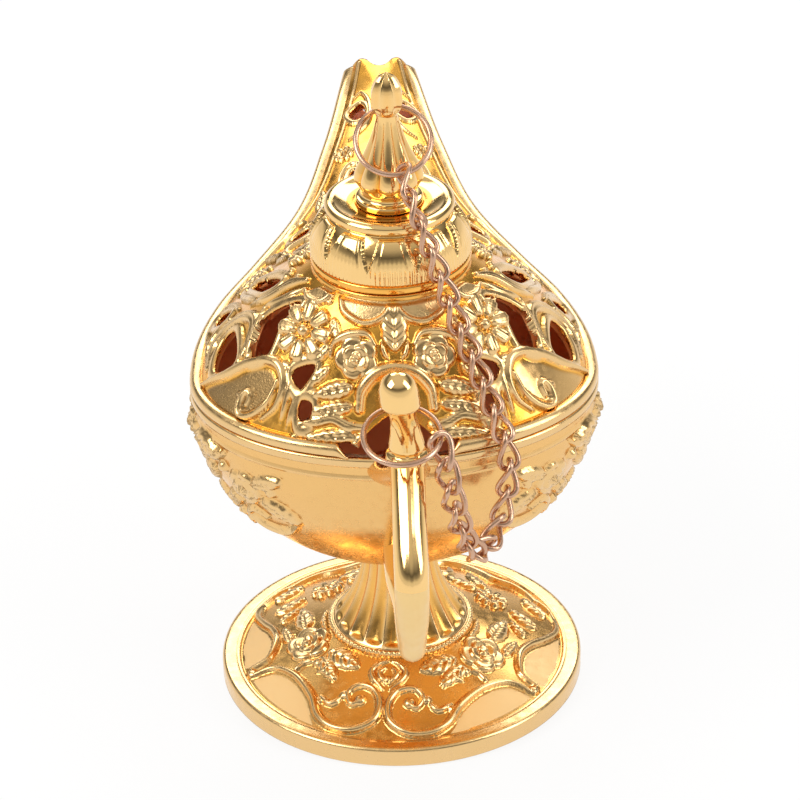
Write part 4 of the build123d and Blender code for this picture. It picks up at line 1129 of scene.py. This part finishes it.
def ribbed(along, angle):
    """Soft ribs along the arm."""
    return 1 + 0.05 * np.cos(angle * 2) * np.sin(along * pi) + 0.06 * hump(np.cos(angle), 0.18)


def knob_relief(angle, radius, height):
    """Petals that wrap the neck below the knob."""
    tulip = ease((height - TULIP_LOW) / 0.6) * ease((59.4 - height) / 1.5)
    return 0.35 * tulip * np.clip(1.25 - swing(angle, KNOB_PETALS) - (height - TULIP_LOW) / 6.5, 0, 0.4) / 0.4


def make_handle():
    back_line = [
        (15.2, 28.6), (23, 27.4), (30, 26.45), (34, 26), (36.4, 27), (38, 29.6), (39.9, 33.4), (41.4, 36.9),
        (42.3, 39.4), (42.2, 41.2), (41.2, 42.9), (39.3, 44.9), (36.5, 47.4), (33.4, 50.3), (31.8, 51.9),
        (KNOB_BACK, 53.6),
    ]
    line = handle_line(back_line, 0.35)
    share = np.linspace(0, 1, len(line))
    across = 2.2 - 0.5 * hump(share - 0.42, 0.1) + 0.25 * hump(share, 0.06)
    points, faces = tube(line, across, across * 0.95, parting)
    # painted shade near the knob end of the bar, where it meets the knob and arm
    shade_and_stain = np.append(np.repeat(0.5 * hump(share - 0.93, 0.05), BAR_SIDES), [0, 0])
    bar = add_piece("handle_bar", points, faces, [polished, painted_reflection_gold], "body", ["handle"], shade_and_stain)
    # the lower bend gets the paler gold as a painted reflection of the floor
    paint(bar, (points[:, 2] < PALE_BELOW) & (points[:, 1] < -PALE_BEHIND))

    profile = (
        [(0, 52.2), (2.3, 52.2), (2.65, 52.4), (2.75, 52.9), (2.65, 53.4), (2.3, 53.6), (2.15, 53.8)]
        + arc((2.1, 54), (1.75, 59.9), 0.22, 18)
        + [(1.78, 60), (2.35, 60.2), (2.55, 60.5), (2.58, 61.4)]
        + smooth_line([(2.55, 61.8), (2.45, 62.8), (2, 64), (1.1, 64.85), (0.3, 65.1)], 0.2).tolist()
        + [(0, 65.1)]
    )
    points, faces, lift = turned(dense(profile, 0.15), KNOB_SIDES, knob_relief, (0, -KNOB_BACK))
    points[:, 0] += handle_lean(-points[:, 1], points[:, 2])
    # painted shade on the neck between the petals
    neck = (points[:, 2] > 53.8) & (points[:, 2] < 59.9) & (lift < 0.12)
    add_piece("handle_knob", points, faces, [polished], "body", ["handle"], 0.7 * neck)

    line = handle_line([(18.2, 43.3), (21, 44.5), (24.5, 46.3), (28.2, 49), (KNOB_BACK, 52.2)], 0.3)
    run = np.linspace(0, 1, len(line))
    points, faces = tube(line, 4.6 - 4.4 * run + 1.5 * run**2, 2.5 - 1.3 * run + 0.5 * run**2, ribbed)
    # a share of painted shade over the whole arm
    add_piece("handle_arm", points, faces, [gold], "body", ["handle"], np.full(len(points), 0.35))


# Chain and rings


def node_points(name):
    return np.array([v.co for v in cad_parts[name].data.vertices]) / MM


def wire(line, sides, closed):
    """Round sections of wire along a line that is open or a loop."""
    tangent = unit(np.roll(line, -1, 0) - np.roll(line, 1, 0) if closed else np.gradient(line, axis=0))
    inward = unit(line.mean(0) - line)
    side = unit(np.cross(tangent, inward))
    inward = np.cross(side, tangent)
    angle = around(sides)[:, None]
    return line[:, None] + WIRE * (inward[:, None] * np.cos(angle) + side[:, None] * np.sin(angle))


LINK_COUNT = 21
# Half length, half width and twist
LINK_SIZES = (2.5, 1.3, 0.75)
LINK_STEPS = 64
LINK_SIDES = 12


def make_chain():
    names = [f"chain_link_{number:02d}" for number in range(1, LINK_COUNT + 1)]
    t = around(LINK_STEPS)
    shape = np.column_stack([np.cos(t), np.sin(t), np.sin(2 * t)]) * LINK_SIZES
    loop = grid_faces(LINK_STEPS + 1, LINK_SIDES, True) % (LINK_STEPS * LINK_SIDES)
    stains = 0.2 * np.cos(np.repeat(t, LINK_SIDES) * 3)
    links = []
    for name in names:
        cloud = node_points(name)
        centre = cloud.mean(0)
        axes = np.linalg.svd(cloud - centre, full_matrices=False)[2]
        axes[1] = np.cross(axes[2], axes[0])
        points = wire(centre + shape @ axes, LINK_SIDES, True).reshape(-1, 3)
        links.append((points, loop, 0.5 * np.clip(0.5 + rng.normal(0, 0.25) + stains, 0, 1)))
    points, faces, shade_and_stain = welded(links)
    chain = add_piece("chain", points, faces, [copper], None, names, shade_and_stain)
    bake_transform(chain)


RING_SPLIT = 1.5
RING_STEPS = 140
RING_SIDES = 14


def make_ring(name, node, body, slope):
    """A split ring in the place of its node. The split is at its upper side."""
    cloud = node_points(node)
    centre = (cloud.min(0) + cloud.max(0)) / 2
    down = np.array([0, -cos(slope), -sin(slope)])
    t = np.linspace(radians(180 + RING_SPLIT), radians(540 - RING_SPLIT), RING_STEPS)
    line = centre + RING_RADIUS * (np.cos(t)[:, None] * down + np.sin(t)[:, None] * np.array([1.0, 0, 0]))
    points, faces = capped(wire(line, RING_SIDES, False))
    shade_and_stain = np.append(0.25 + 0.2 * np.sin(np.repeat(t, RING_SIDES) * 5), [0, 0])
    add_piece(name, points, faces, [copper], body, [node], shade_and_stain)


# Sections of the mouldings, as (outward, up) places from the rim
COVER_RIM = [
    (-1.6, 0.15), (-0.25, 0.15), (-0.05, 0.3), (0, 0.6), (-0.02, 1), (-0.2, 1.45), (-0.5, 1.66),
    (-0.9, 1.74), (-1.3, 1.72), (-1.7, 1.56), (-2.1, 1.2),
]
BOWL_RIM = [
    (-1.5, -1.5), (-0.7, -1.5), (-0.4, -1.45), (-0.08, -1.25), (0, -0.9), (0, -0.35), (-0.1, -0.1),
    (-0.35, 0), (-1.5, 0),
]

make_cover()
rim_band("cover_rim", COVER_RIM, NOTCH_HALF_WIDTH / HALF_WIDTH, ["cover"], True)
make_bowl()
rim_band("bowl_rim", BOWL_RIM, 0.0, ["bowl"], False)
make_lid()
make_finial()
make_foot()
make_handle()
make_chain()
make_ring("finial_ring_wire", "finial_ring", "lid_ring", radians(39))
make_ring("handle_ring_wire", "handle_ring", "handle_ring", radians(18))
for node in ("foot_washer", "foot_screw", "finial_nut"):
    hidden_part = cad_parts[node]
    hidden_part.data.materials.clear()
    hidden_part.data.materials.append(zinc)


# Stage, light and camera

FLOOR_HALF = 3.0
FLOOR_GREY = 0.9
FLOOR_ROUGHNESS = 0.9
# How much of the floor's look is plain white, where it is seen or mirrored
FLOOR_WHITE = 0.85

floor_mesh = bpy.data.meshes.new("floor")
floor_corners = [(x * FLOOR_HALF, y * FLOOR_HALF, 0) for x, y in ((-1, -1), (1, -1), (1, 1), (-1, 1))]
floor_mesh.from_pydata(floor_corners, [], [(0, 1, 2, 3)])
floor = bpy.data.objects.new("floor", floor_mesh)
bpy.context.collection.objects.link(floor)
floor_paint = bpy.data.materials.new("floor_paint")
floor_paint.use_nodes = True
floor_tree = floor_paint.node_tree
diffuse = floor_tree.nodes["Principled BSDF"]
diffuse.inputs["Base Color"].default_value = (FLOOR_GREY, FLOOR_GREY, FLOOR_GREY, 1)
diffuse.inputs["Roughness"].default_value = FLOOR_ROUGHNESS
white = add_node(floor_tree, "ShaderNodeEmission")
rays = add_node(floor_tree, "ShaderNodeLightPath").outputs
bounced = maths(floor_tree, "MAXIMUM", rays["Is Glossy Ray"], rays["Is Transmission Ray"])
seen = maths(floor_tree, "MAXIMUM", rays["Is Camera Ray"], bounced)
share = maths(floor_tree, "MULTIPLY", seen, FLOOR_WHITE)
mixer = add_node(floor_tree, "ShaderNodeMixShader", {0: share, 1: diffuse.outputs[0], 2: white.outputs[0]})
floor_tree.links.new(mixer.outputs[0], floor_tree.nodes["Material Output"].inputs["Surface"])
floor_mesh.materials.append(floor_paint)

# Grey of the sky from the horizon, at 0.5, to straight up, at 1
SKY_STRENGTH = 0.8
SKY_WARMTH = 0.97
SKY_GREYS = [(0.56, 0.95), (0.62, 0.4), (0.70, 0.14), (0.76, 0.34), (0.83, 0.66), (0.92, 0.85)]

world = bpy.data.worlds.new("studio")
bpy.context.scene.world = world
world.use_nodes = True
sky_tree = world.node_tree
direction = add_node(sky_tree, "ShaderNodeTexCoord").outputs["Generated"]
height = add_node(sky_tree, "ShaderNodeSeparateXYZ", {0: direction}).outputs["Z"]
upness = add_node(sky_tree, "ShaderNodeMapRange", {"Value": height, "From Min": -1}).outputs["Result"]
ramp = add_node(sky_tree, "ShaderNodeValToRGB", {"Fac": upness})
horizon, zenith = ramp.color_ramp.elements
horizon.position = 0.5
horizon.color = (1, 1, 1, 1)
zenith.position = 1.0
zenith.color = (0.9, 0.9, 0.9, 1)
for position, level in SKY_GREYS:
    stop = ramp.color_ramp.elements.new(position)
    stop.color = (level, level, level * SKY_WARMTH, 1)
sky = sky_tree.nodes["Background"]
sky_tree.links.new(ramp.outputs["Color"], sky.inputs["Color"])
sky.inputs["Strength"].default_value = SKY_STRENGTH

LAMP_MIDDLE = Vector((0, 0, 0.045))


def soft_box(name, place, size, power):
    """A rectangular light that faces the middle of the part."""
    lamp = bpy.data.lights.new(name, "AREA")
    lamp.shape = "RECTANGLE"
    lamp.size, lamp.size_y = size
    lamp.energy = power
    holder = bpy.data.objects.new(name, lamp)
    bpy.context.collection.objects.link(holder)
    holder.location = place
    holder.rotation_euler = (LAMP_MIDDLE - Vector(place)).to_track_quat("-Z", "Y").to_euler()


soft_box("key_left", (-0.55, -0.25, 0.6), (0.45, 0.45), 3.2)
soft_box("fill_right", (0.6, -0.2, 0.45), (0.3, 0.6), 2.2)
soft_box("back_top", (0.05, 0.6, 0.55), (0.8, 0.3), 2.6)

# The photograph's camera
CAMERA_PLACE = Vector((-6.37, -449.96, 309.4)) * MM
PITCH = radians(30.66)
YAW = radians(0.9)
ROLL = 0.0265
SENSOR = 36.0
FOCAL_LENGTH = 174.96
forward = Vector((cos(PITCH) * sin(YAW), cos(PITCH) * cos(YAW), -sin(PITCH)))
level_right = Vector((cos(YAW), -sin(YAW), 0))
level_up = level_right.cross(forward)
right = (level_right - ROLL * level_up).normalized()
up = (level_up + ROLL * level_right).normalized()
lens = bpy.data.cameras.new("camera")
lens.sensor_width = SENSOR
lens.lens = FOCAL_LENGTH
lens.clip_start = 0.01
camera = bpy.data.objects.new("camera", lens)
bpy.context.collection.objects.link(camera)
turned_to = Matrix((right, up, -forward)).transposed().to_4x4()
camera.matrix_world = Matrix.Translation(CAMERA_PLACE) @ turned_to
bpy.context.scene.camera = camera
bpy.context.scene.view_settings.view_transform = "Standard"
